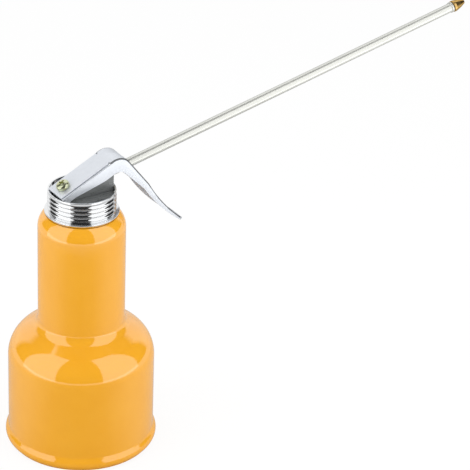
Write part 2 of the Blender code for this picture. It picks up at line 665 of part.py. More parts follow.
def lever_channel():
    """The hollow between the side walls, under the tongue and behind the web."""
    inner = web_line(LEVER_SHEET)
    rear = on_tongue(-TONGUE_REAR - 10 * MM, LEVER_SHEET)
    last = Vector((inner[-1][0], 0.0, inner[-1][1]))
    beyond = last + Vector((math.cos(FINGER_END), 0.0, -math.sin(FINGER_END))) * 10 * MM
    low = [beyond - Vector((30 * MM, 0.0, 30 * MM)), rear - Vector((0.0, 0.0, 20 * MM))]
    half = LEVER_WIDTH / 2 - LEVER_SHEET
    outline = flat_points([rear]) + inner + flat_points([beyond, *low])
    return plate("lever_channel", outline, -half, half)


def tongue_slit():
    """The slit along one side of the tongue, and the room above the arm beside it."""
    slit_low, slit_high = TONGUE_WIDTH / 2, LEVER_WIDTH / 2 - LEVER_SHEET + 0.1 * MM
    rear = -TONGUE_REAR - 10 * MM
    corners = [on_tongue(rear, -4 * MM), on_tongue(NOTCH_REACH, -4 * MM),
               on_tongue(NOTCH_REACH, LEVER_SHEET + 0.5 * MM), on_tongue(rear, LEVER_SHEET + 0.5 * MM)]
    slit = plate("tongue_slit", flat_points(corners), slit_low, slit_high)
    top = [on_tongue(rear, -4 * MM), on_tongue(NOTCH_REACH, -4 * MM),
           on_tongue(NOTCH_REACH, ARM_DROP), on_tongue(rear, ARM_DROP)]
    above = plate("arm_top", flat_points(top), (slit_low + slit_high) / 2, LEVER_WIDTH)
    return [slit, above, mirrored(slit), mirrored(above)]


def spout_slot():
    """The slot in the web that the spout passes through over the lever's whole travel."""
    reach = SPOUT_DIAMETER / 2 + SLIT_CLEARANCE
    low = [on_spout(22 * MM, up=-reach), on_spout(60 * MM, up=-reach)]
    high = [on_spout(60 * MM, up=reach), on_spout(22 * MM, up=reach)]
    high = [PIVOT + turned_by(p - PIVOT, LEVER_RANGE) for p in high]
    return plate("spout_slot", flat_points(low + high), -SLIT_WIDTH / 2, SLIT_WIDTH / 2)


def tip_corners():
    """What is cut off the two corners of the tip to round it, seen from the front."""
    end = Vector((web_line(0.0)[-1][0], 0.0, web_line(0.0)[-1][1]))
    along = Vector((math.cos(FINGER_END), 0.0, -math.sin(FINGER_END)))
    out = Vector((math.sin(FINGER_END), 0.0, math.cos(FINGER_END)))
    half = LEVER_WIDTH / 2
    inwards = TIP_ROUND - 0.1 * MM
    centre = end - along * inwards + Vector((0.0, half - inwards, 0.0))
    mesh = bpy.data.meshes.new("tip_corner")
    form = bmesh.new()
    curve = arc((0.0, 0.0), TIP_ROUND, 0.0, math.pi / 2, 5)
    outside = [(0.0, 3 * TIP_ROUND), (3 * TIP_ROUND, 3 * TIP_ROUND), (3 * TIP_ROUND, 0.0)]
    ring = []
    for forward, side in curve + outside:
        ring.append(form.verts.new(centre + along * forward + Vector((0.0, side, 0.0)) - out * 12 * MM))
    face = form.faces.new(ring)
    swept = bmesh.ops.extrude_face_region(form, geom=[face])
    moved = [part for part in swept["geom"] if isinstance(part, bmesh.types.BMVert)]
    bmesh.ops.translate(form, vec=out * 24 * MM, verts=moved)
    bmesh.ops.recalc_face_normals(form, faces=form.faces)
    form.to_mesh(mesh)
    form.free()
    corner = add("tip_corner", mesh, None, None, cutters)
    return [corner, mirrored(corner)]


def squeeze_lever(parent):
    half = LEVER_WIDTH / 2
    lever = plate("squeeze_lever", lever_outline(), -half, half, ZINC, parts)
    fold_the_web(lever)
    wide = SCREW_DIAMETER + SCREW_HOLE_PLAY
    hole = cylinder("tongue_hole", wide, on_tongue(SCREW_BACK, -2 * MM), on_tongue(SCREW_BACK, 3 * MM))
    cut(lever, lever_channel(), *tongue_slit(), hole, spout_slot(), *tip_corners())
    stay_in_place(lever, parent)


def lever_screw(parent):
    """The screw's own frame has its Z square to the tongue and its zero on the tongue's face."""
    head = SCREW_HEAD_DIAMETER / 2
    top = GAP + SCREW_HEAD_HEIGHT
    shank = SCREW_DIAMETER / 2
    end = -(NUT_DEPTH + SCREW_NUT_HEIGHT + SCREW_REACH)
    profile = [(0.0, top), (head * 0.45, top - 0.05 * MM), (head * 0.8, top - 0.5 * MM)]
    profile += [(head, top - 1.3 * MM), (head, GAP), (shank, GAP), (shank, end + 0.4 * MM)]
    profile += [(shank - 0.4 * MM, end), (0.0, end)]
    screw = lathe("lever_screw", profile, YELLOW_ZINC, SMALL, parent)
    cross = []
    for i, (x, y) in enumerate(((RECESS_LENGTH, RECESS_WIDTH), (RECESS_WIDTH, RECESS_LENGTH))):
        low, high = (-x / 2, -y / 2, top - RECESS_DEPTH), (x / 2, y / 2, top + MM)
        cross.append(box(f"cross_recess_{i}", low, high, parent=parent))
    cut(screw, *cross)


def screw_nut(parent):
    top = -NUT_DEPTH
    half = SCREW_NUT_WIDTH / 2
    low = top - SCREW_NUT_HEIGHT
    nut = box("screw_nut", (-half, -half, low), (half, half, top), YELLOW_ZINC, parts, parent)
    hole = SCREW_DIAMETER / 2 + GAP
    profile = [(0.0, top + MM), (hole, top + MM), (hole, low - MM), (0.0, low - MM)]
    bore = lathe("screw_nut_bore", profile, None, SMALL, parent, cutters)
    cut(nut, bore)


# Spout, in a frame whose Z runs along it from the can's axis

def spout_tube(parent):
    end = SPOUT_START + SPOUT_LENGTH
    outer, lip, bore = SPOUT_DIAMETER / 2, LIP_DIAMETER / 2, SPOUT_BORE / 2
    rounding = 0.3 * MM
    profile = [(lip - rounding, end), (lip, end - rounding), (lip, end - LIP_LENGTH + rounding)]
    profile += [(outer, end - LIP_LENGTH - rounding), (outer, SPOUT_START)]
    profile += [(bore, SPOUT_START), (bore, end)]
    lathe("spout_tube", profile, CHROME, MEDIUM, parent)


def spout_nozzle(parent):
    seat = SPOUT_START + SPOUT_LENGTH + GAP
    base, tip, bore = NOZZLE_DIAMETER / 2, NOZZLE_TIP_DIAMETER / 2, NOZZLE_BORE / 2
    shank = SPOUT_BORE / 2 - GAP
    end = seat + NOZZLE_LENGTH
    profile = [(bore, end), (tip - 0.5 * MM, end), (tip, end - 0.5 * MM), (base, seat + 1.6 * MM)]
    profile += [(base, seat + 0.3 * MM), (base - 0.3 * MM, seat), (shank, seat)]
    profile += [(shank, seat - NOZZLE_SHANK_LENGTH), (bore, seat - NOZZLE_SHANK_LENGTH)]
    lathe("spout_nozzle", profile, BRASS, MEDIUM, parent)


def spout_olive(parent):
    low = BOSS_END + GAP
    inner, outer = SPOUT_DIAMETER / 2 + GAP, BOSS_DIAMETER / 2
    middle = low + OLIVE_LENGTH / 2
    profile = [(inner + 0.4 * MM, low + OLIVE_LENGTH), (outer, middle), (inner + 0.4 * MM, low)]
    profile += [(inner, low), (inner, low + OLIVE_LENGTH)]
    lathe("spout_olive", profile, BRASS, SMALL, parent)


def spout_nut(parent):
    low = BOSS_END + 2 * GAP + OLIVE_LENGTH
    radius = SPOUT_NUT_WIDTH / 2 / math.cos(math.pi / 6)
    high = low + SPOUT_NUT_LENGTH
    bore = SPOUT_DIAMETER / 2 + GAP
    profile = [(radius, high), (radius, low), (bore, low), (bore, high)]
    nut = lathe("spout_nut", profile, BRASS, SMALL, parent)
    flats = []
    for i in range(6):
        turn = math.pi / 3 * i
        tool = box(f"nut_flat_{i}", (SPOUT_NUT_WIDTH / 2, -radius, low - MM),
                   (radius + 2 * MM, radius, high + MM), parent=parent)
        tool.rotation_euler = (0.0, 0.0, turn)
        flats.append(tool)
    cut(nut, *flats)


# Pump

def pump_head(parent):
    half = BLOCK_WIDTH / 2
    front = on_spout(BOSS_END).x - 1.2 * MM
    block = box("pump_head", (-BLOCK_REAR, -half, BLOCK_BOTTOM), (front, half, BLOCK_TOP), BRASS, parts)
    boss = cylinder("spout_boss", BOSS_DIAMETER, on_spout(BOSS_START), on_spout(BOSS_END))
    neck, chamber = BARREL_NECK_DIAMETER / 2 + GAP, CHAMBER_DIAMETER / 2
    rod, gland = ROD_DIAMETER / 2 + GAP, GLAND_DIAMETER / 2
    steps = [(gland, BLOCK_TOP + MM), (gland, GLAND_FLOOR), (rod, GLAND_FLOOR)]
    steps += [(rod, CHAMBER_FLOOR + CHAMBER_HEIGHT), (chamber, CHAMBER_FLOOR + CHAMBER_HEIGHT)]
    steps += [(chamber, CHAMBER_FLOOR), (neck, CHAMBER_FLOOR), (neck, BLOCK_BOTTOM - MM)]
    profile = [(0.0, BLOCK_TOP + MM), *steps, (0.0, BLOCK_BOTTOM - MM)]
    bore = lathe("head_bore", profile, None, MEDIUM, None, cutters)
    port_z = CHAMBER_FLOOR + CHAMBER_HEIGHT / 2
    corner = on_spout(SPOUT_START)
    start, turn = Vector((0, 0, port_z)), Vector((corner.x, 0, port_z))
    level = cylinder("level_port", PORT_DIAMETER, start, turn, sides=12)
    below = turn - Vector((0.5 * MM, 0, 0.3 * MM))
    rising = cylinder("rising_port", RISING_PORT_DIAMETER, below, corner, sides=12)
    mouth, beyond = on_spout(SPOUT_START - GAP), on_spout(BOSS_END + MM)
    socket = cylinder("spout_socket", SPOUT_DIAMETER + 2 * GAP, mouth, beyond)
    join(block, boss)
    cut(block, bore, level, rising, socket)
    stay_in_place(block, parent)


def gland_packing(parent):
    low = GLAND_FLOOR + GAP
    outer, inner = GLAND_DIAMETER - 2 * GAP, ROD_DIAMETER + 2 * GAP
    made = tube("gland_packing", low + PACKING_HEIGHT, low, outer, inner, RUBBER, SMALL)
    stay_in_place(made, parent)


def gland_nut(parent):
    low = GLAND_FLOOR + 2 * GAP + PACKING_HEIGHT
    seat = BLOCK_TOP + GAP
    top = seat + GLAND_NUT_HEAD
    shank = GLAND_DIAMETER / 2 - GAP
    bore = ROD_DIAMETER / 2 + GAP
    radius = GLAND_NUT_DIAMETER / 2
    profile = [(radius, top), (radius, seat), (shank, seat), (shank, low), (bore, low), (bore, top)]
    made = lathe("gland_nut", profile, BRASS, 24)
    stay_in_place(made, parent)


def pump_barrel(parent):
    neck, neck_bore = BARREL_NECK_DIAMETER / 2, BARREL_NECK_BORE / 2
    flange, body, bore = BARREL_FLANGE_DIAMETER / 2, BARREL_DIAMETER / 2, BARREL_BORE / 2
    neck_top = CHAMBER_FLOOR - GAP
    profile = [(neck, neck_top), (neck, FLANGE_TOP), (flange, FLANGE_TOP), (flange, FLANGE_BOTTOM)]
    profile += [(body, FLANGE_BOTTOM), (body, BARREL_BOTTOM), (bore, BARREL_BOTTOM)]
    profile += [(bore, BARREL_CEILING)]
    profile += [(neck_bore, BARREL_CEILING), (neck_bore, neck_top)]
    made = lathe("pump_barrel", profile, BRASS, MEDIUM)
    stay_in_place(made, parent)


def barrel_washer(parent):
    hole = BARREL_NECK_DIAMETER + 2 * GAP
    made = tube("barrel_washer", WEB_BOTTOM - GAP, FLANGE_TOP + GAP, BARREL_FLANGE_DIAMETER, hole, FIBRE)
    stay_in_place(made, parent)


def foot_valve(parent):
    plug = BARREL_BORE / 2 - GAP
    flange, tail = BARREL_DIAMETER / 2, VALVE_TAIL_DIAMETER / 2
    seat = BARREL_BOTTOM - GAP
    bottom = seat - VALVE_FLANGE_HEIGHT
    end = bottom - VALVE_TAIL_LENGTH
    floor = VALVE_TOP - VALVE_CHAMBER_DEPTH
    port, chamber, tail_bore = VALVE_PORT / 2, VALVE_CHAMBER / 2, VALVE_TAIL_BORE / 2
    profile = [(chamber, VALVE_TOP), (plug, VALVE_TOP), (plug, seat), (flange, seat), (flange, bottom)]
    profile += [(tail, bottom), (tail, end), (tail_bore, end), (tail_bore, bottom)]
    profile += [(port, bottom + 0.4 * MM), (port, floor), (chamber, floor)]
    made = lathe("foot_valve", profile, BRASS, 24)
    stay_in_place(made, parent)


def ball_seat_height():
    """Centre of the ball when it rests a gap above the edge of its port."""
    radius = BALL_DIAMETER / 2
    floor = VALVE_TOP - VALVE_CHAMBER_DEPTH
    return floor + math.sqrt(radius ** 2 - (VALVE_PORT / 2) ** 2) + GAP


def suction_ball(parent):
    centre = ball_seat_height()
    radius = BALL_DIAMETER / 2
    profile = arc((0.0, centre), radius, math.pi / 2, -math.pi / 2, 8)
    profile = [(0.0, centre + radius), *profile[1:-1], (0.0, centre - radius)]
    made = lathe("suction_ball", profile, STEEL, 16)
    stay_in_place(made, parent)


def ball_retainer(parent):
    top = RETAINER_BOTTOM + RETAINER_HEIGHT
    made = tube("ball_retainer", top, RETAINER_BOTTOM, BARREL_BORE - 2 * GAP, RETAINER_HOLE, BRASS, 24)
    stay_in_place(made, parent)


def suction_pipe(parent):
    top = BARREL_BOTTOM - 2 * GAP - VALVE_FLANGE_HEIGHT
    strainer_floor = DISC_THICKNESS + STRAINER_CLEARANCE + STRAINER_WALL
    bottom = strainer_floor + STRAINER_HEIGHT - STRAINER_WALL - STRAINER_OVERLAP
    pipe = tube("suction_tube", top, bottom, SUCTION_DIAMETER, SUCTION_BORE, PLASTIC, 24)
    stay_in_place(pipe, parent)
    inner = SUCTION_DIAMETER / 2 + GAP
    outer = inner + STRAINER_WALL
    low = DISC_THICKNESS + STRAINER_CLEARANCE
    high = low + STRAINER_HEIGHT
    profile = [(0.0, strainer_floor), (inner, strainer_floor), (inner, high), (outer, high)]
    profile += [(outer, low), (0.0, low)]
    strainer = lathe("suction_strainer", profile, BRASS, 24)
    slot_low = strainer_floor + 0.4 * MM
    slot_high = slot_low + STRAINER_SLOT_HEIGHT
    reach, half = outer + MM, STRAINER_SLOT / 2
    slots = []
    for i in range(3):
        tool = box(f"strainer_slot_{i}", (-reach, -half, slot_low), (reach, half, slot_high))
        tool.rotation_euler = (0.0, 0.0, math.pi / 3 * i)
        slots.append(tool)
    cut(strainer, *slots)
    stay_in_place(strainer, parent)


# Plunger, which the lever pushes down

def dome_centre(slope):
    """Height above the hinge line of the button's dome centre when it meets the tongue."""
    reach = TONGUE_HEIGHT - LEVER_SHEET - GAP - BUTTON_DOME
    return (reach + PIVOT_BACK * math.sin(slope)) / math.cos(slope)


def plunger(parent):
    top = PIVOT.z + dome_centre(TONGUE_SLOPE) + BUTTON_DOME
    half = BUTTON_DIAMETER / 2
    low = top - BUTTON_HEIGHT
    turn = math.asin(half / BUTTON_DOME)
    dome = arc((0.0, top - BUTTON_DOME), BUTTON_DOME, math.pi / 2, math.pi / 2 - turn, 4)
    socket = ROD_DIAMETER / 2 + GAP
    profile = [(0.0, top), *dome[1:], (half, low), (socket, low), (socket, low + BUTTON_SOCKET)]
    profile += [(0.0, low + BUTTON_SOCKET)]
    button = lathe("plunger_button", profile, STEEL, 24)
    stay_in_place(button, parent)
    rod, collar = ROD_DIAMETER / 2, ROD_COLLAR_DIAMETER / 2
    rod_top = low + BUTTON_SOCKET - GAP
    rod_end = NUT_TOP - PISTON_NUT_HEIGHT - 0.4 * MM
    profile = [(0.0, rod_top), (rod, rod_top), (rod, COLLAR_TOP), (collar, COLLAR_TOP)]
    profile += [(collar, COLLAR_BOTTOM), (rod, COLLAR_BOTTOM), (rod, rod_end), (0.0, rod_end)]
    stem = lathe("plunger_rod", profile, STEEL, SMALL)
    stay_in_place(stem, parent)


def piston(parent):
    bore = ROD_DIAMETER + 2 * GAP
    disc_low = DISC_TOP - PISTON_DISC_HEIGHT
    disc = tube("piston_disc", DISC_TOP, disc_low, PISTON_DISC_DIAMETER, bore, BRASS, 24)
    outer = BARREL_BORE / 2 - GAP
    inner = outer - CUP_WALL
    lip = CUP_BOTTOM + CUP_HEIGHT
    profile = [(inner, lip), (outer, lip), (outer, CUP_BOTTOM + 0.5 * MM), (outer - 0.5 * MM, CUP_BOTTOM)]
    floor = CUP_BOTTOM + CUP_WALL
    profile += [(bore / 2, CUP_BOTTOM), (bore / 2, floor), (inner, floor)]
    cup = lathe("piston_cup", profile, RUBBER, 24)
    washer_low = WASHER_TOP - PISTON_WASHER_HEIGHT
    washer = tube("piston_washer", WASHER_TOP, washer_low, PISTON_WASHER_DIAMETER, bore, STEEL, 24)
    radius = PISTON_NUT_WIDTH / 2 / math.cos(math.pi / 6)
    middle = Vector((0, 0, NUT_TOP - PISTON_NUT_HEIGHT / 2))
    half = Vector((0, 0, PISTON_NUT_HEIGHT / 2))
    nut = cylinder("piston_nut", 2 * radius, middle - half, middle + half, STEEL, 6, 0.0, parts)
    hole = cylinder("piston_nut_bore", bore, middle - 2 * half, middle + 2 * half, sides=SMALL)
    cut(nut, hole)
    for made in (disc, cup, washer, nut):
        stay_in_place(made, parent)


def return_spring(parent):
    wire_radius = SPRING_WIRE / 2
    low = SPRING_BOTTOM + wire_radius
    high = SPRING_TOP - wire_radius
    per_turn = 10
    count = round(SPRING_TURNS * per_turn)
    mean = SPRING_DIAMETER / 2
    points = []
    for i in range(count + 1):
        turn = 2 * math.pi * i / per_turn
        z = low + (high - low) * i / count
        points.append((mean * math.cos(turn), mean * math.sin(turn), z))
    made = wire("return_spring", points, wire_radius, 1, STEEL, parts)
    stay_in_place(made, parent)


def smooth(limit=math.radians(32)):
    """Shades the round pieces smooth, with sharp edges kept."""
    for made in parts.objects:
        if made.type != "MESH":
            continue
        made.data.shade_smooth()
        made.data.set_sharp_from_angle(angle=limit)


def build():
    head_axis = empty("head_axis", (0.0, 0.0, CAP_BOTTOM))
    lever_pivot = empty("lever_pivot", PIVOT)
    plunger_axis = empty("plunger_axis", (0.0, 0.0, BLOCK_TOP))
    ball_axis = empty("ball_axis", (0.0, 0.0, ball_seat_height()))
    spout_line = empty("spout_line", SPOUT_ORIGIN, math.pi / 2 - SPOUT_RISE)
    screw_line = empty("screw_line", on_tongue(SCREW_BACK), -TONGUE_SLOPE)

    can_body()
    base_disc()
    cap_gasket()
    screw_cap(head_axis)
    lever_bracket(head_axis)
    squeeze_lever(lever_pivot)
    lever_screw(screw_line)
    screw_nut(screw_line)
    spout_tube(spout_line)
    spout_nozzle(spout_line)
    spout_olive(spout_line)
    spout_nut(spout_line)
    pump_head(head_axis)
    gland_packing(head_axis)
    gland_nut(head_axis)
    pump_barrel(head_axis)
    barrel_washer(head_axis)
    foot_valve(head_axis)
    suction_ball(ball_axis)
    ball_retainer(head_axis)
    suction_pipe(head_axis)
    plunger(plunger_axis)
    piston(plunger_axis)
    return_spring(plunger_axis)
    smooth()

    stroke = dome_centre(TONGUE_SLOPE) - dome_centre(TONGUE_SLOPE - LEVER_RANGE)
    print("lever range, degrees", round(math.degrees(LEVER_RANGE), 2))
    print("plunger stroke, mm", round(stroke / MM, 4))
    print("ratio, m per radian", round(stroke / LEVER_RANGE, 7))
    print("hinge line", [round(c, 6) for c in PIVOT])
    rise = (SPRING_TOP - SPRING_BOTTOM - SPRING_WIRE) / SPRING_TURNS
    print("spring's gap between turns, mm", round((rise - SPRING_WIRE) / MM, 3))


build()
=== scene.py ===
"""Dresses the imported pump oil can: finer shapes where they show, procedural materials, a pale
floor, soft studio light and the photograph's camera. Metres, in the frame of the CAD model."""
import math

import bmesh
import bpy
from mathutils import Matrix, Vector


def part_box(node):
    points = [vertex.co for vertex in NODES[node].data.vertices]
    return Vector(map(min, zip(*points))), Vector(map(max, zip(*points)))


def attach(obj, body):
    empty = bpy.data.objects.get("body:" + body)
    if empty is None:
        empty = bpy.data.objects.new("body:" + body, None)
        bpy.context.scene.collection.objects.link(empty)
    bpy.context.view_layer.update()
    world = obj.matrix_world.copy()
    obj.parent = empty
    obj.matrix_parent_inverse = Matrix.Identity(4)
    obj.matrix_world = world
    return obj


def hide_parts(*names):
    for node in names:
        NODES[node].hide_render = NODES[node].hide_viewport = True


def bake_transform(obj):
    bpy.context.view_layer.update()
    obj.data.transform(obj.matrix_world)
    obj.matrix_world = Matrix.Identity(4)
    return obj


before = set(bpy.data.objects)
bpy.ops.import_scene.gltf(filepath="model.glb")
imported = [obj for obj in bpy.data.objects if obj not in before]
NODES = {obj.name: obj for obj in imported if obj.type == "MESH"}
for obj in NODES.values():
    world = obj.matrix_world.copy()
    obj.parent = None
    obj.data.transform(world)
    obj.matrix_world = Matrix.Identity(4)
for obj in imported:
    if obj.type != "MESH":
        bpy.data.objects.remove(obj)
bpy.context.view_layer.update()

MM = 0.001
TABLE = -1.5 * MM                   # the surface that the can stands on
CAMERA_AZIMUTH, CAMERA_ELEVATION, CAMERA_ROLL = -33.0, 28.3, 1.59     # in degrees

ON_AXIS = 1e-7                      # a radius up to this is a point on the axis
SHARP_ANGLE = 35.0                  # a turned edge sharper than this stays crisp
NEARLY_STRAIGHT = math.pi - 0.02    # a corner wider than this needs no arc
SIDE_SHARE = 0.49                   # share of a side that a corner's arc may take
WELD = 2e-6                         # carved points nearer than this become one
FLAT_ANGLE = 0.5                    # carved faces within this many degrees become one


# Mesh helpers

def mesh_object(name, form, material=None):
    """An object made from a bmesh, which it uses up."""
    mesh = bpy.data.meshes.new(name)
    form.to_mesh(mesh)
    form.free()
    made = bpy.data.objects.new(name, mesh)
    bpy.context.scene.collection.objects.link(made)
    if material:
        mesh.materials.append(material)
    return made


def shade(made):
    """Smooth shading with sharp edges kept."""
    made.data.shade_smooth()
    made.data.set_sharp_from_angle(angle=math.radians(SHARP_ANGLE))
    return made


def arc(cx, cz, radius, start, end, steps):
    """Points of an arc, angles in degrees, both ends included."""
    turns = [math.radians(start + (end - start) * i / steps) for i in range(steps + 1)]
    return [(cx + radius * math.cos(turn), cz + radius * math.sin(turn)) for turn in turns]


def rounded(corners, steps=5, closed=False):
    """A polyline through (x, z, radius) corners, each corner replaced by an arc of its radius."""
    points = []
    count = len(corners)
    for i, (x, z, radius) in enumerate(corners):
        if radius <= 0 or not closed and i in (0, count - 1):
            points.append((x, z))
            continue
        here = Vector((x, z))
        before = Vector(corners[i - 1][:2]) - here
        after = Vector(corners[(i + 1) % count][:2]) - here
        turn = before.angle(after, math.pi)
        if turn > NEARLY_STRAIGHT:
            points.append((x, z))
            continue
        reach = min(radius / math.tan(turn / 2), before.length * SIDE_SHARE,
                    after.length * SIDE_SHARE)
        radius = reach * math.tan(turn / 2)
        middle = (before.normalized() + after.normalized()).normalized()
        centre = here + middle * (radius / math.sin(turn / 2))
        first = here + before.normalized() * reach - centre
        last = here + after.normalized() * reach - centre
        sweep = first.angle_signed(last)
        for k in range(steps + 1):
            spoke = first.copy()
            spoke.rotate(Matrix.Rotation(-sweep * k / steps, 2))
            points.append(tuple(centre + spoke))
    return points


def rectangle(x_low, x_high, z_low, z_high):
    return [(x_low, z_low), (x_high, z_low), (x_high, z_high), (x_low, z_high)]


def turned(name, profile, material, steps=192, place=None):
    """A piece turned about Z from a closed profile that runs down its outer side. A profile that
    starts on the axis ends on it too."""
    form = bmesh.new()
    turns = [2 * math.pi * k / steps for k in range(steps)]
    rings = []
    for radius, z in profile:
        if radius <= ON_AXIS:
            rings.append([form.verts.new((0.0, 0.0, z))])
        else:
            rings.append([form.verts.new((radius * math.cos(turn), radius * math.sin(turn), z))
                          for turn in turns])
    pairs = list(zip(rings, rings[1:]))
    if profile[0][0] > ON_AXIS:
        pairs.append((rings[-1], rings[0]))
    for upper, lower in pairs:
        for k in range(steps):
            after = (k + 1) % steps
            corners = [upper[k % len(upper)], lower[k % len(lower)],
                       lower[after % len(lower)], upper[after % len(upper)]]
            form.faces.new(list(dict.fromkeys(corners)))
    bmesh.ops.recalc_face_normals(form, faces=form.faces)
    if place is not None:
        bmesh.ops.transform(form, matrix=place, verts=form.verts)
    return shade(mesh_object(name, form, material))


def prism(name, outline, y_low, y_high, material=None):
    """An outline of (x, z) points swept across Y, with whole end faces."""
    form = bmesh.new()
    near = [form.verts.new((x, y_low, z)) for x, z in outline]
    far = [form.verts.new((x, y_high, z)) for x, z in outline]
    form.faces.new(near)
    form.faces.new(list(reversed(far)))
    for i in range(len(outline)):
        after = (i + 1) % len(outline)
        form.faces.new((near[i], far[i], far[after], near[after]))
    bmesh.ops.recalc_face_normals(form, faces=form.faces)
    return mesh_object(name, form, material)


def side_prism(name, outline, side, inner, outer):
    """A prism on one side of the middle plane: side is 1 or -1, inner and outer are distances."""
    low, high = sorted((side * inner, side * outer))
    return prism(name, outline, low, high)


def rod(name, radius, start, end, sides=64, material=None):
    """A cylinder between two points."""
    axis = end - start
    form = bmesh.new()
    bmesh.ops.create_cone(form, cap_ends=True, segments=sides, radius1=radius, radius2=radius,
                          depth=axis.length)
    turn = axis.to_track_quat("Z", "X").to_matrix().to_4x4()
    place = Matrix.Translation((start + end) / 2) @ turn
    bmesh.ops.transform(form, matrix=place, verts=form.verts)
    return mesh_object(name, form, material)


def apply_modifiers(target):
    """Makes what the modifiers show the object's own mesh."""
    bpy.context.view_layer.update()
    evaluated = target.evaluated_get(bpy.context.evaluated_depsgraph_get())
    mesh = bpy.data.meshes.new_from_object(evaluated)
    old = target.data
    target.modifiers.clear()
    target.data = mesh
    bpy.data.meshes.remove(old)


def carve(target, tools, operation="DIFFERENCE"):
    """Cuts the tools out of a piece, or joins them to it, and removes them."""
    for tool in tools:
        step = target.modifiers.new("carve", "BOOLEAN")
        step.operation = operation
        step.solver = "EXACT"
        step.object = tool
    apply_modifiers(target)
    for tool in tools:
        bpy.data.objects.remove(tool, do_unlink=True)


def soften(made, width, degrees=40.0):
    """Takes the sharpness off a carved piece's edges."""
    form = bmesh.new()
    form.from_mesh(made.data)
    bmesh.ops.remove_doubles(form, verts=form.verts, dist=WELD)
    bmesh.ops.dissolve_limit(form, angle_limit=math.radians(FLAT_ANGLE), verts=form.verts,
                             edges=form.edges)
    form.to_mesh(made.data)
    form.free()
    bevel = made.modifiers.new("edges", "BEVEL")
    bevel.width = width
    bevel.segments = 2
    bevel.limit_method = "ANGLE"
    bevel.angle_limit = math.radians(degrees)
    bevel.use_clamp_overlap = True
    bevel.harden_normals = True
    made.data.shade_smooth()
    apply_modifiers(made)


def dress(made, body, node):
    """Lets a piece ride on a body and stand for a CAD node."""
    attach(made, body)
    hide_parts(node)


# Material helpers

NOISE_SPAN = (0.3, 0.7)             # where nearly all values of a noise lie


def grey(level):
    return (level, level, level)


class Nodes:
    """Short ways to add nodes to a shader tree. An input is a number, a vector, a colour or
    another node's output."""

    def __init__(self, tree):
        self.tree = tree

    def feed(self, socket, value):
        if isinstance(value, bpy.types.NodeSocket):
            self.tree.links.new(value, socket)
        elif socket.type == "RGBA":
            socket.default_value = (*value, 1.0)
        else:
            socket.default_value = value

    def node(self, kind, inputs=None, **settings):
        """A new node with its inputs by name or number, and its settings."""
        made = self.tree.nodes.new(kind)
        for key, value in settings.items():
            setattr(made, key, value)
        for key, value in (inputs or {}).items():
            self.feed(made.inputs[key], value)
        return made

    def calc(self, operation, *values):
        made = self.node("ShaderNodeMath", dict(enumerate(values)), operation=operation)
        return made.outputs[0]

    def length(self, vector):
        made = self.node("ShaderNodeVectorMath", {0: vector}, operation="LENGTH")
        return made.outputs["Value"]

    def split(self, vector):
        """The X, Y and Z of a vector."""
        return tuple(self.node("ShaderNodeSeparateXYZ", {0: vector}).outputs)

    def stretch(self, vector, scale):
        made = self.node("ShaderNodeMapping", {"Vector": vector, "Scale": scale})
        return made.outputs["Vector"]

    def place(self, scale=(1.0, 1.0, 1.0)):
        """Object coordinates, stretched."""
        return self.stretch(self.node("ShaderNodeTexCoord").outputs["Object"], scale)

    def around(self, scale):
        """Coordinates round the Z axis: angle, height and radius, for marks left by turning."""
        x, y, z = self.split(self.node("ShaderNodeTexCoord").outputs["Object"])
        level = self.node("ShaderNodeCombineXYZ", {"X": x, "Y": y}).outputs[0]
        places = {"X": self.calc("ARCTAN2", y, x), "Y": z, "Z": self.length(level)}
        return self.stretch(self.node("ShaderNodeCombineXYZ", places).outputs[0], scale)

    def noise(self, vector, scale, detail=3.0, roughness=0.5, distortion=0.0):
        made = self.node("ShaderNodeTexNoise", {"Vector": vector, "Scale": scale, "Detail": detail,
                                                "Roughness": roughness, "Distortion": distortion})
        return made.outputs["Fac"]

    def range(self, value, low, high, to_low=0.0, to_high=1.0):
        """Maps low to to_low and high to to_high, and no further."""
        made = self.node("ShaderNodeMapRange", {"Value": value, "From Min": low, "From Max": high,
                                                "To Min": to_low, "To Max": to_high})
        return made.outputs["Result"]

    def ramp(self, value, stops):
        """A colour read off a row of (position, colour) stops."""
        made = self.node("ShaderNodeValToRGB", {"Fac": value})
        elements = made.color_ramp.elements
        while len(elements) < len(stops):
            elements.new(0.5)
        for element, (position, colour) in zip(elements, stops):
            element.position = position
            element.color = (*colour, 1.0)
        return made.outputs["Color"]

    def mix(self, amount, first, second):
        """One colour fading into another. The Mix node's sockets 6, 7 and 2 are its colours."""
        made = self.node("ShaderNodeMix", {"Factor": amount, 6: first, 7: second}, data_type="RGBA")
        return made.outputs[2]

    def mix_shaders(self, amount, first, second):
        """One shader fading into another."""
        return self.node("ShaderNodeMixShader", {0: amount, 1: first, 2: second}).outputs[0]

    def bump(self, height, strength, depth):
        made = self.node("ShaderNodeBump", {"Height": height, "Strength": strength,
                                            "Distance": depth})
        return made.outputs["Normal"]


class Finish(Nodes):
    """A Principled material. Its sockets are named with _ for a space."""

    def __init__(self, name, colour, roughness, metallic, **sockets):
        self.material = bpy.data.materials.new(name)
        self.material.use_nodes = True
        super().__init__(self.material.node_tree)
        self.shader = self.tree.nodes["Principled BSDF"]
        self.surface(Base_Color=colour, Roughness=roughness, Metallic=metallic, **sockets)

    def surface(self, **sockets):
        for key, value in sockets.items():
            self.feed(self.shader.inputs[key.replace("_", " ")], value)

    def mottle(self, cloud, first, second):
        """A base colour that wanders between two tones."""
        self.surface(Base_Color=self.mix(self.range(cloud, *NOISE_SPAN), first, second))

    def polish(self, cloud, low, high):
        """A roughness that wanders between two values."""
        self.surface(Roughness=self.range(cloud, *NOISE_SPAN, low, high))

    def grain(self, height, strength, depth):
        """A fine relief."""
        self.surface(Normal=self.bump(height, strength, depth))


# Materials

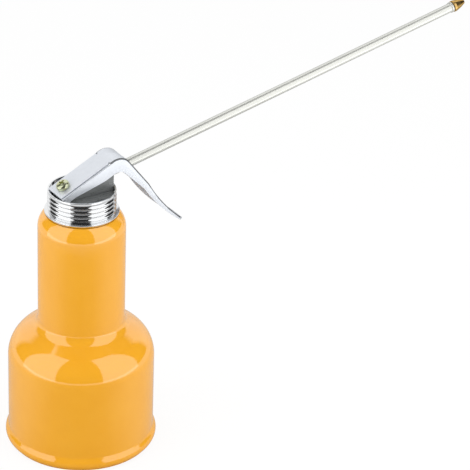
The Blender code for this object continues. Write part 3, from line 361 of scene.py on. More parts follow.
def paint():
    """Glossy orange-yellow enamel with a faint orange peel."""
    finish = Finish("orange_enamel", (0.85, 0.39, 0.02), roughness=0.08, metallic=0.0, IOR=2.0)
    where = finish.place()
    cloud = finish.noise(where, scale=45.0, roughness=0.55)
    finish.mottle(cloud, (0.84, 0.38, 0.018), (0.86, 0.40, 0.023))
    finish.polish(finish.noise(where, scale=300.0, detail=2.0), 0.05, 0.1)
    finish.grain(finish.noise(where, scale=140.0, detail=2.0), strength=0.05, depth=0.2 * MM)
    return finish.material


def chrome(name, colour, roughness, metallic=1.0, edge=1.0):
    """Plated steel with faint turning marks. A low edge dims what it mirrors at a slant."""
    finish = Finish(name, colour, roughness[0], metallic, Specular_Tint=grey(edge))
    cloud = finish.noise(finish.place(), scale=120.0)
    rings = finish.noise(finish.around((6.0, 9000.0, 9000.0)), scale=1.0, detail=2.0, roughness=0.6)
    finish.mottle(cloud, tuple(channel * 0.96 for channel in colour), colour)
    finish.polish(cloud, *roughness)
    finish.grain(rings, strength=0.08, depth=0.03 * MM)
    return finish.material


def zinc(name, first, second):
    """Zinc on pressed sheet: slightly mottled, with faint lines along its length."""
    finish = Finish(name, second, roughness=0.3, metallic=0.62, Specular_Tint=grey(0.12))
    cloud = finish.noise(finish.place(), scale=160.0, detail=4.0, roughness=0.6)
    lines = finish.noise(finish.place((60.0, 2600.0, 900.0)), scale=1.0, roughness=0.6)
    finish.mottle(cloud, first, second)
    finish.polish(cloud, 0.34, 0.46)
    finish.grain(lines, strength=0.12, depth=0.04 * MM)
    return finish.material


def dark_steel():
    """Dark brushed sheet with fine lengthwise lines and small pits."""
    finish = Finish("dark_brushed_steel", (0.2, 0.2, 0.21), roughness=0.4, metallic=0.4)
    lines = finish.noise(finish.place((150.0, 4000.0, 4000.0)), scale=1.0, roughness=0.65)
    brushed = finish.mix(finish.range(lines, 0.35, 0.65), (0.15, 0.16, 0.16), (0.27, 0.28, 0.28))
    pits = finish.range(finish.noise(finish.place(), scale=1300.0, detail=2.0), 0.62, 0.72)
    finish.surface(Base_Color=finish.mix(pits, brushed, grey(0.03)))
    finish.polish(lines, 0.42, 0.56)
    finish.grain(lines, strength=0.15, depth=0.05 * MM)
    return finish.material


def yellow_zinc():
    """Yellow passivated zinc, shifting between straw, green and rose."""
    straw, pale = (0.5, 0.52, 0.26), (0.72, 0.72, 0.5)
    green, rose = (0.62, 0.7, 0.46), (0.74, 0.64, 0.5)
    finish = Finish("yellow_zinc", (0.7, 0.62, 0.3), roughness=0.25, metallic=1.0)
    cloud = finish.noise(finish.place(), scale=420.0, roughness=0.6, distortion=0.4)
    shifting = finish.ramp(cloud, ((0.3, straw), (0.48, pale), (0.6, green), (0.75, rose)))
    finish.surface(Base_Color=shifting)
    finish.polish(cloud, 0.18, 0.32)
    fine = finish.noise(finish.place(), scale=2500.0, detail=2.0)
    finish.grain(fine, strength=0.05, depth=0.03 * MM)
    return finish.material


def brass():
    """Turned brass, a little uneven in tone and polish."""
    finish = Finish("turned_brass", (0.72, 0.47, 0.16), roughness=0.22, metallic=1.0,
                    Specular_Tint=grey(0.25))
    cloud = finish.noise(finish.place(), scale=300.0, detail=4.0, roughness=0.6)
    finish.mottle(cloud, (0.62, 0.38, 0.11), (0.8, 0.55, 0.22))
    finish.polish(cloud, 0.16, 0.32)
    fine = finish.noise(finish.place(), scale=3000.0, detail=2.0)
    finish.grain(fine, strength=0.06, depth=0.03 * MM)
    return finish.material


def plain_steel():
    """Bright turned steel with faint rings."""
    finish = Finish("plain_steel", (0.6, 0.61, 0.62), roughness=0.22, metallic=1.0)
    cloud = finish.noise(finish.place(), scale=350.0, detail=4.0, roughness=0.6)
    rings = finish.noise(finish.around((4.0, 8000.0, 8000.0)), scale=1.0, detail=2.0)
    finish.mottle(cloud, (0.5, 0.51, 0.52), (0.68, 0.69, 0.7))
    finish.polish(cloud, 0.16, 0.34)
    finish.grain(rings, strength=0.08, depth=0.03 * MM)
    return finish.material


def plain(name, first, second, roughness, fineness):
    """A non-metal with a mottled tone and a fine grain."""
    finish = Finish(name, first, roughness, metallic=0.0)
    cloud = finish.noise(finish.place(), scale=fineness * 0.25, detail=4.0, roughness=0.6)
    finish.mottle(cloud, first, second)
    finish.polish(cloud, roughness * 0.85, roughness * 1.15)
    finish.grain(finish.noise(finish.place(), scale=fineness), strength=0.2, depth=0.06 * MM)
    return finish.material


PAINT = paint()
CHROME = chrome("bright_chrome", (0.86, 0.87, 0.88), (0.05, 0.12))
PLATED = chrome("plated_tube", (0.76, 0.765, 0.72), (0.24, 0.32), metallic=0.68, edge=0.12)
ZINC = zinc("bright_zinc", (0.75, 0.78, 0.83), (0.83, 0.86, 0.91))
# A dark copy of the zinc for the lever's fold: a painted dark reflection along it.
FOLD_PAINTED_REFLECTION = zinc("fold_painted_dark_reflection", (0.14, 0.145, 0.15), (0.24, 0.25, 0.26))
DARK = dark_steel()
YELLOW = yellow_zinc()
BRASS = brass()
STEEL = plain_steel()
RUBBER = plain("black_rubber", (0.018, 0.018, 0.018), (0.035, 0.034, 0.033), 0.7, 1800.0)
FIBRE = plain("red_fibre", (0.3, 0.05, 0.035), (0.4, 0.09, 0.06), 0.75, 2200.0)
PLASTIC = plain("white_plastic", (0.72, 0.75, 0.74), (0.8, 0.82, 0.81), 0.42, 900.0)

for name, material in {
    "can_body": PAINT, "base_disc": PAINT, "cap_gasket": RUBBER, "screw_cap": CHROME,
    "lever_bracket": DARK, "squeeze_lever": ZINC, "lever_screw": YELLOW, "screw_nut": YELLOW,
    "spout_tube": PLATED, "spout_nozzle": BRASS, "spout_olive": BRASS, "spout_nut": BRASS,
    "pump_head": BRASS, "gland_packing": RUBBER, "gland_nut": BRASS, "pump_barrel": BRASS,
    "barrel_washer": FIBRE, "foot_valve": BRASS, "suction_ball": STEEL, "ball_retainer": BRASS,
    "suction_tube": PLASTIC, "suction_strainer": BRASS, "plunger_button": STEEL,
    "plunger_rod": STEEL, "piston_disc": BRASS, "piston_cup": RUBBER, "piston_washer": STEEL,
    "piston_nut": STEEL, "return_spring": STEEL,
}.items():
    NODES[name].data.materials.clear()
    NODES[name].data.materials.append(material)


# Can

RIM = 45.0 * MM                     # half width over the rolled rim
BEAD = 4.0 * MM                     # radius of the rolled rim
BODY = 43.2 * MM                    # half width of the straight wall
WALL = 1.0 * MM
BODY_TOP = TABLE + 55.2 * MM        # where the straight wall turns into the dome
DOME = 19.6 * MM                    # radius of the dome
SLOPE = 33.0                        # slope between the dome and the neck's foot, in degrees
FILLET = 7.2 * MM                   # radius of the hollow at the neck's foot
NECK = 25.55 * MM                   # half width of the neck
NECK_TOP = TABLE + 140.3 * MM       # where the neck turns into its upper round
NECK_ROUND = 11.4 * MM              # radius of that round
SHOULDER = TABLE + 149.1 * MM       # the ledge under the cap
MOUTH = 17.0 * MM                   # half width of the mouth
MOUTH_TOP = TABLE + 157.4 * MM
PITCH = 2.7 * MM                    # of the mouth's thread
FINE_STEPS = 256                    # round the can and the cap


def can_side(inset, fine):
    """The side from the neck's upper round down to the straight wall, moved inwards by inset."""
    dome = (BODY - DOME, BODY_TOP)
    end = arc(*dome, DOME, 0, 90 - SLOPE, 1)[-1]
    slope = math.radians(SLOPE)
    rise = (end[0] - NECK - FILLET) * math.tan(slope) + FILLET / math.cos(slope)
    fillet = (NECK + FILLET, end[1] + rise)
    top_turn = math.degrees(math.asin((SHOULDER - inset - NECK_TOP) / (NECK_ROUND - inset)))
    points = arc(NECK - NECK_ROUND, NECK_TOP, NECK_ROUND - inset, top_turn, 0, 8 * fine)
    points += arc(*fillet, FILLET + inset, 180, 270 - SLOPE, 8 * fine)
    points += arc(*dome, DOME - inset, 90 - SLOPE, 0, 10 * fine)
    return points


def can_shell():
    """The can's sheet: down the outside from the mouth, round the rim and up the inside."""
    lip, lip_draft, ledge = 0.4 * MM, 0.02 * MM, 0.1 * MM
    outer = [(MOUTH - lip_draft, MOUTH_TOP), (MOUTH, MOUTH_TOP - lip)]
    outer += [(MOUTH, SHOULDER + ledge), (MOUTH + ledge, SHOULDER)]
    outer += can_side(0.0, 2)

    bead_x, bead_z = RIM - BEAD, TABLE + BEAD
    wall_end, flare_start, flare_end, bead_start = (TABLE + z * MM for z in (12, 8.4, 7.5, 6.7))
    flare = [(BODY, wall_end, 0.0), (BODY, flare_start, 1.2 * MM),
             (BODY + 0.35 * MM, flare_end, 0.6 * MM), (bead_x + 3.0 * MM, bead_start, 0.0)]
    outer += rounded(flare, steps=6)[:-1]
    outer += arc(bead_x, bead_z, BEAD, 40, -63, steps=18)
    foot, foot_round = 1.7 * MM, 0.35 * MM
    outer += arc(bead_x + foot, TABLE + foot_round, foot_round, -50, -90, steps=3)

    mouth_wall, lip_wall, chamfer = 1.6 * MM, 1.3 * MM, 0.3 * MM
    inner = [(BODY - WALL, TABLE), *reversed(can_side(WALL, 1))]
    inner += [(MOUTH - mouth_wall, SHOULDER - WALL), (MOUTH - mouth_wall, MOUTH_TOP - chamfer),
              (MOUTH - lip_wall, MOUTH_TOP)]
    dress(turned("can_shell", outer + inner, PAINT, FINE_STEPS), "can", "can_body")


def helix(radius, low, high, turns, per_turn):
    """Points of a helix round the can's axis, per_turn of them on each turn."""
    steps = round(turns * per_turn)
    points = []
    for i in range(steps + 1):
        turn = 2 * math.pi * i / per_turn
        height = low + (high - low) * i / steps
        points.append(Vector((radius * math.cos(turn), radius * math.sin(turn), height)))
    return points


def wound(name, points, sizes, material):
    """A round wire that goes round the can's axis through points, with a radius for each."""
    sides = 12
    turns = [2 * math.pi * k / sides for k in range(sides)]
    form = bmesh.new()
    rings = []
    for point, size in zip(points, sizes):
        out = Vector((point.x, point.y, 0.0)).normalized()
        ring = []
        for turn in turns:
            rise = Vector((0, 0, size * math.sin(turn)))
            ring.append(form.verts.new(point + out * size * math.cos(turn) + rise))
        rings.append(ring)
    for one, two in zip(rings, rings[1:]):
        for k in range(sides):
            after = (k + 1) % sides
            form.faces.new((one[k], one[after], two[after], two[k]))
    form.faces.new(rings[0])
    form.faces.new(rings[-1])
    bmesh.ops.recalc_face_normals(form, faces=form.faces)
    return shade(mesh_object(name, form, material))


def mouth_thread():
    """The rolled thread on the mouth, tapering away at both ends."""
    turns, per_turn, taper = 1.75, 72, 10
    size, least_share = 0.9 * MM, 0.12
    low = SHOULDER + 2 * MM
    sunk = 0.1 * MM
    points = helix(MOUTH - sunk, low, low + turns * PITCH, turns, per_turn)
    sizes = []
    for i in range(len(points)):
        share = min(1.0, i / taper, (len(points) - 1 - i) / taper)
        sizes.append(size * max(least_share, math.sin(share * math.pi / 2)))
    dress(wound("mouth_thread", points, sizes, PAINT), "can", "can_body")


def spring_coil():
    """The return spring, wound as a coil in place of its CAD node."""
    radius, wire, turns, per_turn = 3.7 * MM, 0.4 * MM, 5.5, 24
    low, high = (corner.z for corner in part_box("return_spring"))
    points = helix(radius, low + wire, high - wire, turns, per_turn)
    coil = wound("spring_coil", points, [wire] * len(points), STEEL)
    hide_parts("return_spring")
    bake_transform(coil)


def base_plate():
    """The disc that closes the can's foot, with its edge turned up."""
    outer, sheet, height = BODY - WALL - 0.3 * MM, 1.0 * MM, 4.0 * MM
    profile = rounded([(0.0, sheet, 0.0), (outer - sheet, sheet, 0.4 * MM),
                       (outer - sheet, height, 0.3 * MM), (outer, height, 0.3 * MM),
                       (outer, 0.0, 0.9 * MM), (0.0, 0.0, 0.0)])
    dress(turned("base_plate", profile, PAINT), "can", "base_disc")


# Screw cap

WEB_BOTTOM = MOUTH_TOP + 1.8 * MM   # the cap's top wall, sunk below its rim
WEB_TOP = WEB_BOTTOM + 1.2 * MM
CAP_BOTTOM = SHOULDER + 0.3 * MM
CAP_TOP = WEB_TOP + 3.7 * MM
PLATE_TOP = WEB_TOP + 1.3 * MM      # the bracket's plate in the cap's recess


def cap_ring():
    """The cap: a lip, four ribs and a flange outside, a sunk web with a hole inside."""
    lip, crest, trough, flange = 19.7 * MM, 19.9 * MM, 19.0 * MM, 21.7 * MM
    bore, hole, recess = 17.45 * MM, 3.9 * MM, 18.7 * MM
    ribs_top, ribs_low = CAP_TOP - 2.1 * MM, CAP_BOTTOM + 2.2 * MM
    flange_edge = 0.6 * MM
    profile = rounded([(lip - 0.6 * MM, CAP_TOP, 0.0), (lip, CAP_TOP, 0.5 * MM),
                       (lip, ribs_top + 0.3 * MM, 0.4 * MM), (trough, ribs_top, 0.1 * MM)],
                      steps=6)
    ribs, steps = 4, 14
    pitch = (ribs_top - ribs_low) / ribs
    for i in range(ribs * steps + 1):
        share = i / steps
        level = 0.5 - 0.5 * math.cos(2 * math.pi * share)
        profile.append((trough + (crest - trough) * level, ribs_low + pitch * (ribs - share)))
    profile += rounded([(trough, ribs_low, 0.0),
                        (trough + 0.1 * MM, ribs_low - 0.15 * MM, 0.1 * MM),
                        (flange, ribs_low - 0.35 * MM, 0.3 * MM),
                        (flange, CAP_BOTTOM + 1.1 * MM, 0.4 * MM),
                        (flange - flange_edge, CAP_BOTTOM, 0.3 * MM),
                        (bore, CAP_BOTTOM, 0.3 * MM)])[1:]
    profile += [(bore, WEB_BOTTOM), (hole, WEB_BOTTOM), (hole, WEB_TOP)]
    profile += rounded([(hole, WEB_TOP, 0.0), (recess, WEB_TOP, 0.5 * MM),
                        (recess, CAP_TOP, 0.25 * MM), (lip - 0.5 * MM, CAP_TOP, 0.0)])[1:-1]
    dress(turned("cap_ring", profile, CHROME, FINE_STEPS), "head", "screw_cap")


# Lever and bracket. A slope is an angle in the XZ plane.

def along(slope):
    """A unit vector that rises by the slope towards +X."""
    return Vector((math.cos(slope), 0.0, math.sin(slope)))


def upright(slope):
    """The unit vector square to along(slope), upwards."""
    return Vector((-math.sin(slope), 0.0, math.cos(slope)))


PIVOT = Vector((-14.8 * MM, 0.0, PLATE_TOP + 0.7 * MM))
RANGE = math.radians(7.0)           # the lever's swing
SHEET = 1.0 * MM
HALF = 8.4 * MM                     # half width of the lever
TONGUE_SLOPE = math.radians(25.0)   # of the lever's rear part, which has the tongue
ALONG, UP = along(TONGUE_SLOPE), upright(TONGUE_SLOPE)
FOOT = PIVOT + UP * 4.08 * MM       # on the tongue's top, square above the pivot
NOTCH = 33.4 * MM                   # front end of the slits, from FOOT
BEND_REACH, BEND = 35.4 * MM, 9.0 * MM
BEND_STEPS, HOLLOW_STEPS = 20, 24
ARM_SLOPE, ARM_LENGTH = math.radians(52.4), 22.5 * MM
HOLLOW = 101.0 * MM                 # radius of the finger rest's hollow
HOLLOW_START, HOLLOW_END = math.radians(61.0), math.radians(39.0)
BEND_CENTRE = FOOT + ALONG * BEND_REACH - UP * BEND
# The walls' lower edge: (x, z) in millimetres from the bend's centre, then from the pivot.
BEND_EDGE = ((3.2, -0.1), (1.1, 0.45), (-1.5, 0.4), (-3.2, -0.3), (-5.5, -1.5))
ARM_EDGE = ((25.4, 7.5), (15.4, 4.6), (6.0, 2.0))
TIP_DEPTH, DEPTH_GAIN = 1.4, 2.7    # of the walls along the finger rest, in millimetres
CUT_REAR, CUT_TOP = -11.6 * MM, -4 * MM     # clear of the lever behind and above
SLIT_MIDDLE = 7.3 * MM              # from the middle plane
SCREW_PLACE = 4.5 * MM              # of the screw's hole, from FOOT
SPOUT_RISE = math.radians(12.2)
SPOUT_ORIGIN = Vector((0.0, 0.0, PLATE_TOP + 4.7 * MM))
TAB_END, TAB_SHEET, TAB_GAP = 8.5 * MM, 0.9 * MM, 0.3 * MM
TAB_DEPTH = SHEET + TAB_END * math.tan(RANGE) + TAB_GAP     # below the tongue's top


def on_tongue(distance, depth=0.0):
    return FOOT + ALONG * distance - UP * depth


def on_spout(distance, up=0.0):
    return SPOUT_ORIGIN + along(SPOUT_RISE) * distance + upright(SPOUT_RISE) * up


def flat(points):
    return [(p.x, p.z) for p in points]


def web_line(inset):
    """The web from the end of the tongue over the bend and down to the finger rest's tip."""
    points = []
    for i in range(BEND_STEPS + 1):
        turn = TONGUE_SLOPE - (TONGUE_SLOPE + ARM_SLOPE) * i / BEND_STEPS
        points.append(BEND_CENTRE + upright(turn) * (BEND - inset))
    knee = BEND_CENTRE + upright(-ARM_SLOPE) * BEND + along(-ARM_SLOPE) * ARM_LENGTH
    hollow = knee + upright(-HOLLOW_START) * HOLLOW
    for i in range(HOLLOW_STEPS + 1):
        turn = HOLLOW_START + (HOLLOW_END - HOLLOW_START) * i / HOLLOW_STEPS
        points.append(hollow - upright(-turn) * (HOLLOW + inset))
    return points


def depth_line():
    """The walls' lower edge, from the finger rest's tip back to the lug."""
    finger = web_line(0.0)[BEND_STEPS + 1:]
    points = []
    for i, here in enumerate(reversed(finger)):
        share = i / (len(finger) - 1)
        turn = HOLLOW_END + (HOLLOW_START - HOLLOW_END) * share
        points.append(here - upright(-turn) * ((TIP_DEPTH + DEPTH_GAIN * share) * MM))
    corners = [points[-1]]
    corners += [BEND_CENTRE + Vector((x, 0.0, z)) * MM for x, z in BEND_EDGE]
    corners += [PIVOT + Vector((x, 0.0, z)) * MM for x, z in ARM_EDGE]
    smoothed = rounded([(p.x, p.z, 1.6 * MM) for p in corners], steps=4)
    return points[:-1] + [Vector((x, 0.0, z)) for x, z in smoothed]


def lever_blank():
    """The lever before its cuts, with the fold between web and walls in a dark copy of the zinc: a
    painted dark reflection along the fold.
    """
    web = web_line(0.0)
    rear_end = -1.6 * MM
    rear = [PIVOT + Vector((-1.55, 0.0, 2.05)) * MM, on_tongue(rear_end, 1.1 * MM),
            on_tongue(rear_end)]
    lug = arc(PIVOT.x, PIVOT.z, 1.3 * MM, -20, -240, steps=16)
    outline = flat(rear) + flat(web) + flat(depth_line()) + lug
    lever = prism("lever_shape", outline, -HALF, HALF, ZINC)
    count = len(outline)
    folded = range(len(rear) - 1, len(rear) + len(web))
    weights = lever.data.attributes.new("bevel_weight_edge", "FLOAT", "EDGE")
    for edge in lever.data.edges:
        one, two = edge.vertices
        if one // count == two // count and one % count in folded and two % count in folded:
            weights.data[edge.index].value = 1.0
    fold = lever.modifiers.new("fold", "BEVEL")
    fold.limit_method = "WEIGHT"
    fold.width = 0.8 * MM
    fold.segments = 6
    # The fold's faces take the dark copy, a painted dark reflection.
    lever.data.materials.append(FOLD_PAINTED_REFLECTION)
    fold.material = 1
    apply_modifiers(lever)
    return lever


def lever_channel():
    """The hollow between the lever's walls, under its web."""
    inner = web_line(SHEET)
    rear = on_tongue(CUT_REAR, SHEET)
    beyond = inner[-1] + along(-HOLLOW_END) * 10 * MM
    below = [beyond - Vector((30 * MM, 0.0, 30 * MM)), rear - Vector((0.0, 0.0, 20 * MM))]
    outline = flat([rear, *inner, beyond, *below])
    return prism("channel", outline, SHEET - HALF, HALF - SHEET)


def over_tongue(front_depth, rear_depth):
    """An outline from above the lever down to these depths below the tongue's top."""
    return flat([on_tongue(CUT_REAR, CUT_TOP), on_tongue(NOTCH, CUT_TOP),
                 on_tongue(NOTCH, front_depth), on_tongue(CUT_REAR, rear_depth)])


def tongue_cuts(side):
    """The slit beside the tongue, what lowers the wall's top, and the slit's round end."""
    slit_half, slit_depth = 0.2 * MM, 1.5 * MM
    slit = side_prism("slit", over_tongue(slit_depth, slit_depth), side,
                      SLIT_MIDDLE - slit_half, SLIT_MIDDLE + slit_half)
    over_wall = over_tongue(front_depth=0.6 * MM, rear_depth=0.9 * MM)
    arm_top = side_prism("arm_top", over_wall, side, SLIT_MIDDLE, 2 * HALF)
    aside = Vector((0, side * SLIT_MIDDLE, 0))
    end = NOTCH - 0.2 * MM
    relief = rod("relief", 0.75 * MM, on_tongue(end, -3 * MM) + aside,
                 on_tongue(end, 1.6 * MM) + aside, sides=24)
    return [slit, arm_top, relief]


def spout_slot():
    """The opening for the spout, as tall as the spout and the lever's swing need."""
    reach, near, far, half = 3.2 * MM, 22 * MM, 60 * MM, 3.3 * MM
    cos, sin = math.cos(RANGE), math.sin(RANGE)
    points = [on_spout(near, -reach), on_spout(far, -reach)]
    for corner in (on_spout(far, reach), on_spout(near, reach)):
        arm = corner - PIVOT
        points.append(PIVOT + Vector((arm.x * cos - arm.z * sin, 0.0, arm.x * sin + arm.z * cos)))
    return prism("slot", flat(points), -half, half)


def tip_corner(end, side):
    """What rounds one corner of the finger rest's tip, end being the middle of its edge."""
    radius, cut_half = 5.0 * MM, 12 * MM
    inwards = radius - 0.1 * MM
    forwards, out = along(-HOLLOW_END), upright(-HOLLOW_END)
    far = 3 * radius
    ring = arc(0.0, 0.0, radius, 0, 90, steps=16) + [(0.0, far), (far, far), (far, 0.0)]
    centre = end - forwards * inwards + Vector((0.0, side * (HALF - inwards), 0.0))
    form = bmesh.new()
    face = form.faces.new([
        form.verts.new(centre + forwards * x + Vector((0, side * y, 0)) - out * cut_half)
        for x, y in ring])
    swept = bmesh.ops.extrude_face_region(form, geom=[face])
    moved = [part for part in swept["geom"] if isinstance(part, bmesh.types.BMVert)]
    bmesh.ops.translate(form, vec=out * 2 * cut_half, verts=moved)
    bmesh.ops.recalc_face_normals(form, faces=form.faces)
    return mesh_object("tip_corner", form)


def lever_shape():
    """The squeeze lever: a sheet-metal channel with a tongue slit free, a bend and a hollow."""
    lever = lever_blank()
    tip = web_line(0.0)[-1]
    screw_hole = rod("hole", 2.75 * MM, on_tongue(SCREW_PLACE, -2 * MM),
                     on_tongue(SCREW_PLACE, 3 * MM))
    carve(lever, [lever_channel(), *tongue_cuts(-1), *tongue_cuts(1), screw_hole, spout_slot(),
                  tip_corner(tip, 1), tip_corner(tip, -1)])
    soften(lever, 0.14 * MM)
    dress(lever, "lever", "squeeze_lever")


def bracket_shape():
    """A plate in the cap's recess, two walls between the lever's, and the screw's tab."""
    radius, half, wall = 18.4 * MM, 6.5 * MM, 1.0 * MM
    bottom = WEB_TOP + 0.3 * MM
    bracket = rod("bracket_shape", radius, Vector((0, 0, bottom)), Vector((0, 0, PLATE_TOP)),
                  sides=160, material=DARK)
    rear, front = -15.0 * MM, math.sqrt(radius ** 2 - half ** 2)
    foot, top, rear_top = bottom + 0.5 * MM, PLATE_TOP + 11.6 * MM, PLATE_TOP + 3.2 * MM
    corner = 0.8 * MM
    side_view = rounded([(rear, foot, 0.0), (front, foot, 0.0), (front, top, corner),
                         (front - 2.0 * MM, top, corner), (rear, rear_top, corner)], steps=4)
    tab_start = 1.0 * MM
    tab = flat([on_tongue(tab_start, TAB_DEPTH), on_tongue(TAB_END, TAB_DEPTH),
                on_tongue(TAB_END, TAB_DEPTH + TAB_SHEET),
                on_tongue(tab_start, TAB_DEPTH + TAB_SHEET)])
    carve(bracket, [prism("wall", side_view, -half, -half + wall),
                    prism("wall", side_view, half - wall, half),
                    prism("tab", tab, -half + wall / 2, half - wall / 2)], "UNION")

    low, high, beyond = bottom - MM, PLATE_TOP + MM, 30 * MM
    lug_half, crease_width, crease_depth = 1.9 * MM, 0.4 * MM, 0.5 * MM
    trim = rectangle(-beyond, beyond, low, high)
    slot = rectangle(PIVOT.x - lug_half, PIVOT.x + lug_half, low, high)
    crease = rectangle(rear, front, PLATE_TOP - crease_depth, high)
    tools = []
    for side in (-1, 1):
        tools.append(side_prism("trim", trim, side, 13.3 * MM, beyond))
        tools.append(side_prism("slot", slot, side, 7.1 * MM, 8.7 * MM))
        tools.append(side_prism("crease", crease, side, half, half + crease_width))
    tools.append(rod("post", 3.9 * MM, Vector((0, 0, low)), Vector((0, 0, high))))
    tools.append(rod("screw", 2.3 * MM, on_tongue(SCREW_PLACE), on_tongue(SCREW_PLACE, 6 * MM)))
    carve(bracket, tools)
    soften(bracket, 0.12 * MM)
    dress(bracket, "head", "lever_bracket")


def recess_wing(top, across):
    """One wing of the cross recess, narrowing downwards. Across turns it by a quarter."""
    long_top, long_low, short_top, short_low = 2.35 * MM, 1.3 * MM, 0.62 * MM, 0.4 * MM
    form = bmesh.new()
    bmesh.ops.create_cube(form, size=1.0)
    for vertex in form.verts:
        high = vertex.co.z > 0
        x = math.copysign(long_top if high else long_low, vertex.co.x)
        y = math.copysign(short_top if high else short_low, vertex.co.y)
        z = top + 0.3 * MM if high else top - 1.6 * MM
        vertex.co = Vector((-y, x, z)) if across else Vector((x, y, z))
    bmesh.ops.recalc_face_normals(form, faces=form.faces)
    return mesh_object("recess", form)


def screw_head():
    """Pan head with a cross recess, made upright and then laid on the tongue."""
    top, head, shank = 3.5 * MM, 3.9 * MM, 2.0 * MM
    nut_gap, nut, point = 0.3 * MM, 1.5 * MM, 0.2 * MM
    end = -(TAB_DEPTH + TAB_SHEET + nut_gap + nut + point)
    # The dome: share of the head's half width, and drop below its top in millimetres.
    dome = ((0.0, 0.0), (0.25, 0.01), (0.45, 0.06), (0.62, 0.2), (0.78, 0.45), (0.9, 0.85),
            (0.97, 1.3))
    profile = [(head * share, top - drop * MM) for share, drop in dome]
    seat, chamfer = 0.3 * MM, 0.4 * MM
    profile += rounded([(head, top - 1.7 * MM, 0.0), (head, seat, 0.25 * MM),
                        (shank, seat, 0.1 * MM), (shank, end + chamfer, 0.0)])
    profile += [(shank - chamfer, end), (0.0, end)]
    screw = turned("screw_head", profile, YELLOW, steps=96)
    carve(screw, [recess_wing(top, False), recess_wing(top, True)])
    soften(screw, 0.1 * MM, degrees=50.0)
    place, recess_turn = 4.9 * MM, math.radians(20.0)
    turn = Matrix.Rotation(-TONGUE_SLOPE, 4, "Y") @ Matrix.Rotation(recess_turn, 4, "Z")
    screw.data.transform(Matrix.Translation(on_tongue(place)) @ turn)
    dress(screw, "head", "lever_screw")


# Spout. Its profiles run along its own axis, from SPOUT_ORIGIN.

SPOUT_START, SPOUT_END, NOZZLE_SEAT = 7.8 * MM, 266.2 * MM, 266.5 * MM
SPOUT_STEPS = 96


def spout_place():
    tilt = Matrix.Rotation(math.pi / 2 - SPOUT_RISE, 4, "Y")
    return Matrix.Translation(SPOUT_ORIGIN) @ tilt


def spout_pipe():
    """A straight plated tube with a rolled lip at its end."""
    outer, lip, bore = 2.8 * MM, 3.3 * MM, 1.8 * MM
    profile = rounded([(lip, SPOUT_END, 0.45 * MM), (lip, SPOUT_END - 1.3 * MM, 0.45 * MM),
                       (outer, SPOUT_END - 1.7 * MM, 0.3 * MM), (outer, SPOUT_START, 0.2 * MM),
                       (bore, SPOUT_START, 0.1 * MM), (bore, SPOUT_END, 0.1 * MM)],
                      steps=6, closed=True)
    pipe = turned("spout_pipe", profile, PLATED, SPOUT_STEPS, spout_place())
    dress(pipe, "head", "spout_tube")


def nozzle():
    """A brass cone with a shank in the tube's bore."""
    base, belly, tip, shank, bore = 3.5 * MM, 2.7 * MM, 1.3 * MM, 1.5 * MM, 0.7 * MM
    end, inner_end = NOZZLE_SEAT + 8.7 * MM, NOZZLE_SEAT - 5 * MM
    profile = rounded([(bore, end, 0.15 * MM), (tip, end, 0.5 * MM),
                       (belly, NOZZLE_SEAT + 5.0 * MM, 4.0 * MM),
                       (base, NOZZLE_SEAT + 1.6 * MM, 1.6 * MM), (base, NOZZLE_SEAT, 0.3 * MM),
                       (shank, NOZZLE_SEAT, 0.1 * MM), (shank, inner_end, 0.2 * MM),
                       (bore, inner_end, 0.1 * MM)], steps=8, closed=True)
    dress(turned("nozzle", profile, BRASS, SPOUT_STEPS, spout_place()), "head", "spout_nozzle")


can_shell()
mouth_thread()
base_plate()
cap_ring()
lever_shape()
bracket_shape()
screw_head()
spout_pipe()
nozzle()
spring_coil()


# Floor, backdrop light, lamps and camera. Level 1 is white. A row of levels gives what plated
# parts mirror: share of the half turn away from the camera, and level.

PANEL_DISTANCE, PANEL_START, PANEL_HEIGHT, PANEL_LEVEL = 0.38, -0.075, 1.07, 1.15
PANEL_TURN = 45                     # between the camera and each panel, in degrees
TABLE_HALF = 6.0
TABLE_FRONT, FRONT_BLUR, FRONT_LEVEL = 0.5, 0.02, 0.02
# Levels of the floor's painted glow in reflections; the low front levels are painted shade.
FLOOR_LEVELS = ((0.0, 0.1), (0.17, 0.16), (0.38, 0.45), (1.0, 0.65))
FAR_SPAN, FAR_FLOOR = (0.285, 0.31), 0.8    # the floor beyond this distance is even
FLOOR_SHOWN, FLOOR_GLOW = 0.85, 1.04    # share of the floor's glow to the camera, and its level
FILL_LEVEL = 0.85
BACKDROP_LEVELS = ((0.0, 0.03), (0.69, 0.03), (0.74, 1.0), (1.0, 1.0))
BACKDROP_ASIDE = 3.0                # turn of the white sheet behind the object, in degrees
CEILING_SPAN, CEILING_LEVEL = (68, 76), 0.03    # elevations where the sheet ends, in degrees


def camera_turn(nodes, coordinate, aside=0.0):
    """Turns coordinates so that -Y faces the camera. Gives the share of a half turn away from
    it, the distance towards it and the height."""
    angle = math.radians(-CAMERA_AZIMUTH - aside)
    facing = nodes.node("ShaderNodeVectorRotate", {"Vector": coordinate, "Angle": angle},
                        rotation_type="Z_AXIS")
    x, y, z = nodes.split(facing.outputs[0])
    front = nodes.calc("MULTIPLY", y, -1.0)
    turn = nodes.calc("ABSOLUTE", nodes.calc("ARCTAN2", x, front))
    return nodes.range(turn, 0.0, math.pi), front, z


def greys(levels):
    return [(position, grey(level)) for position, level in levels]


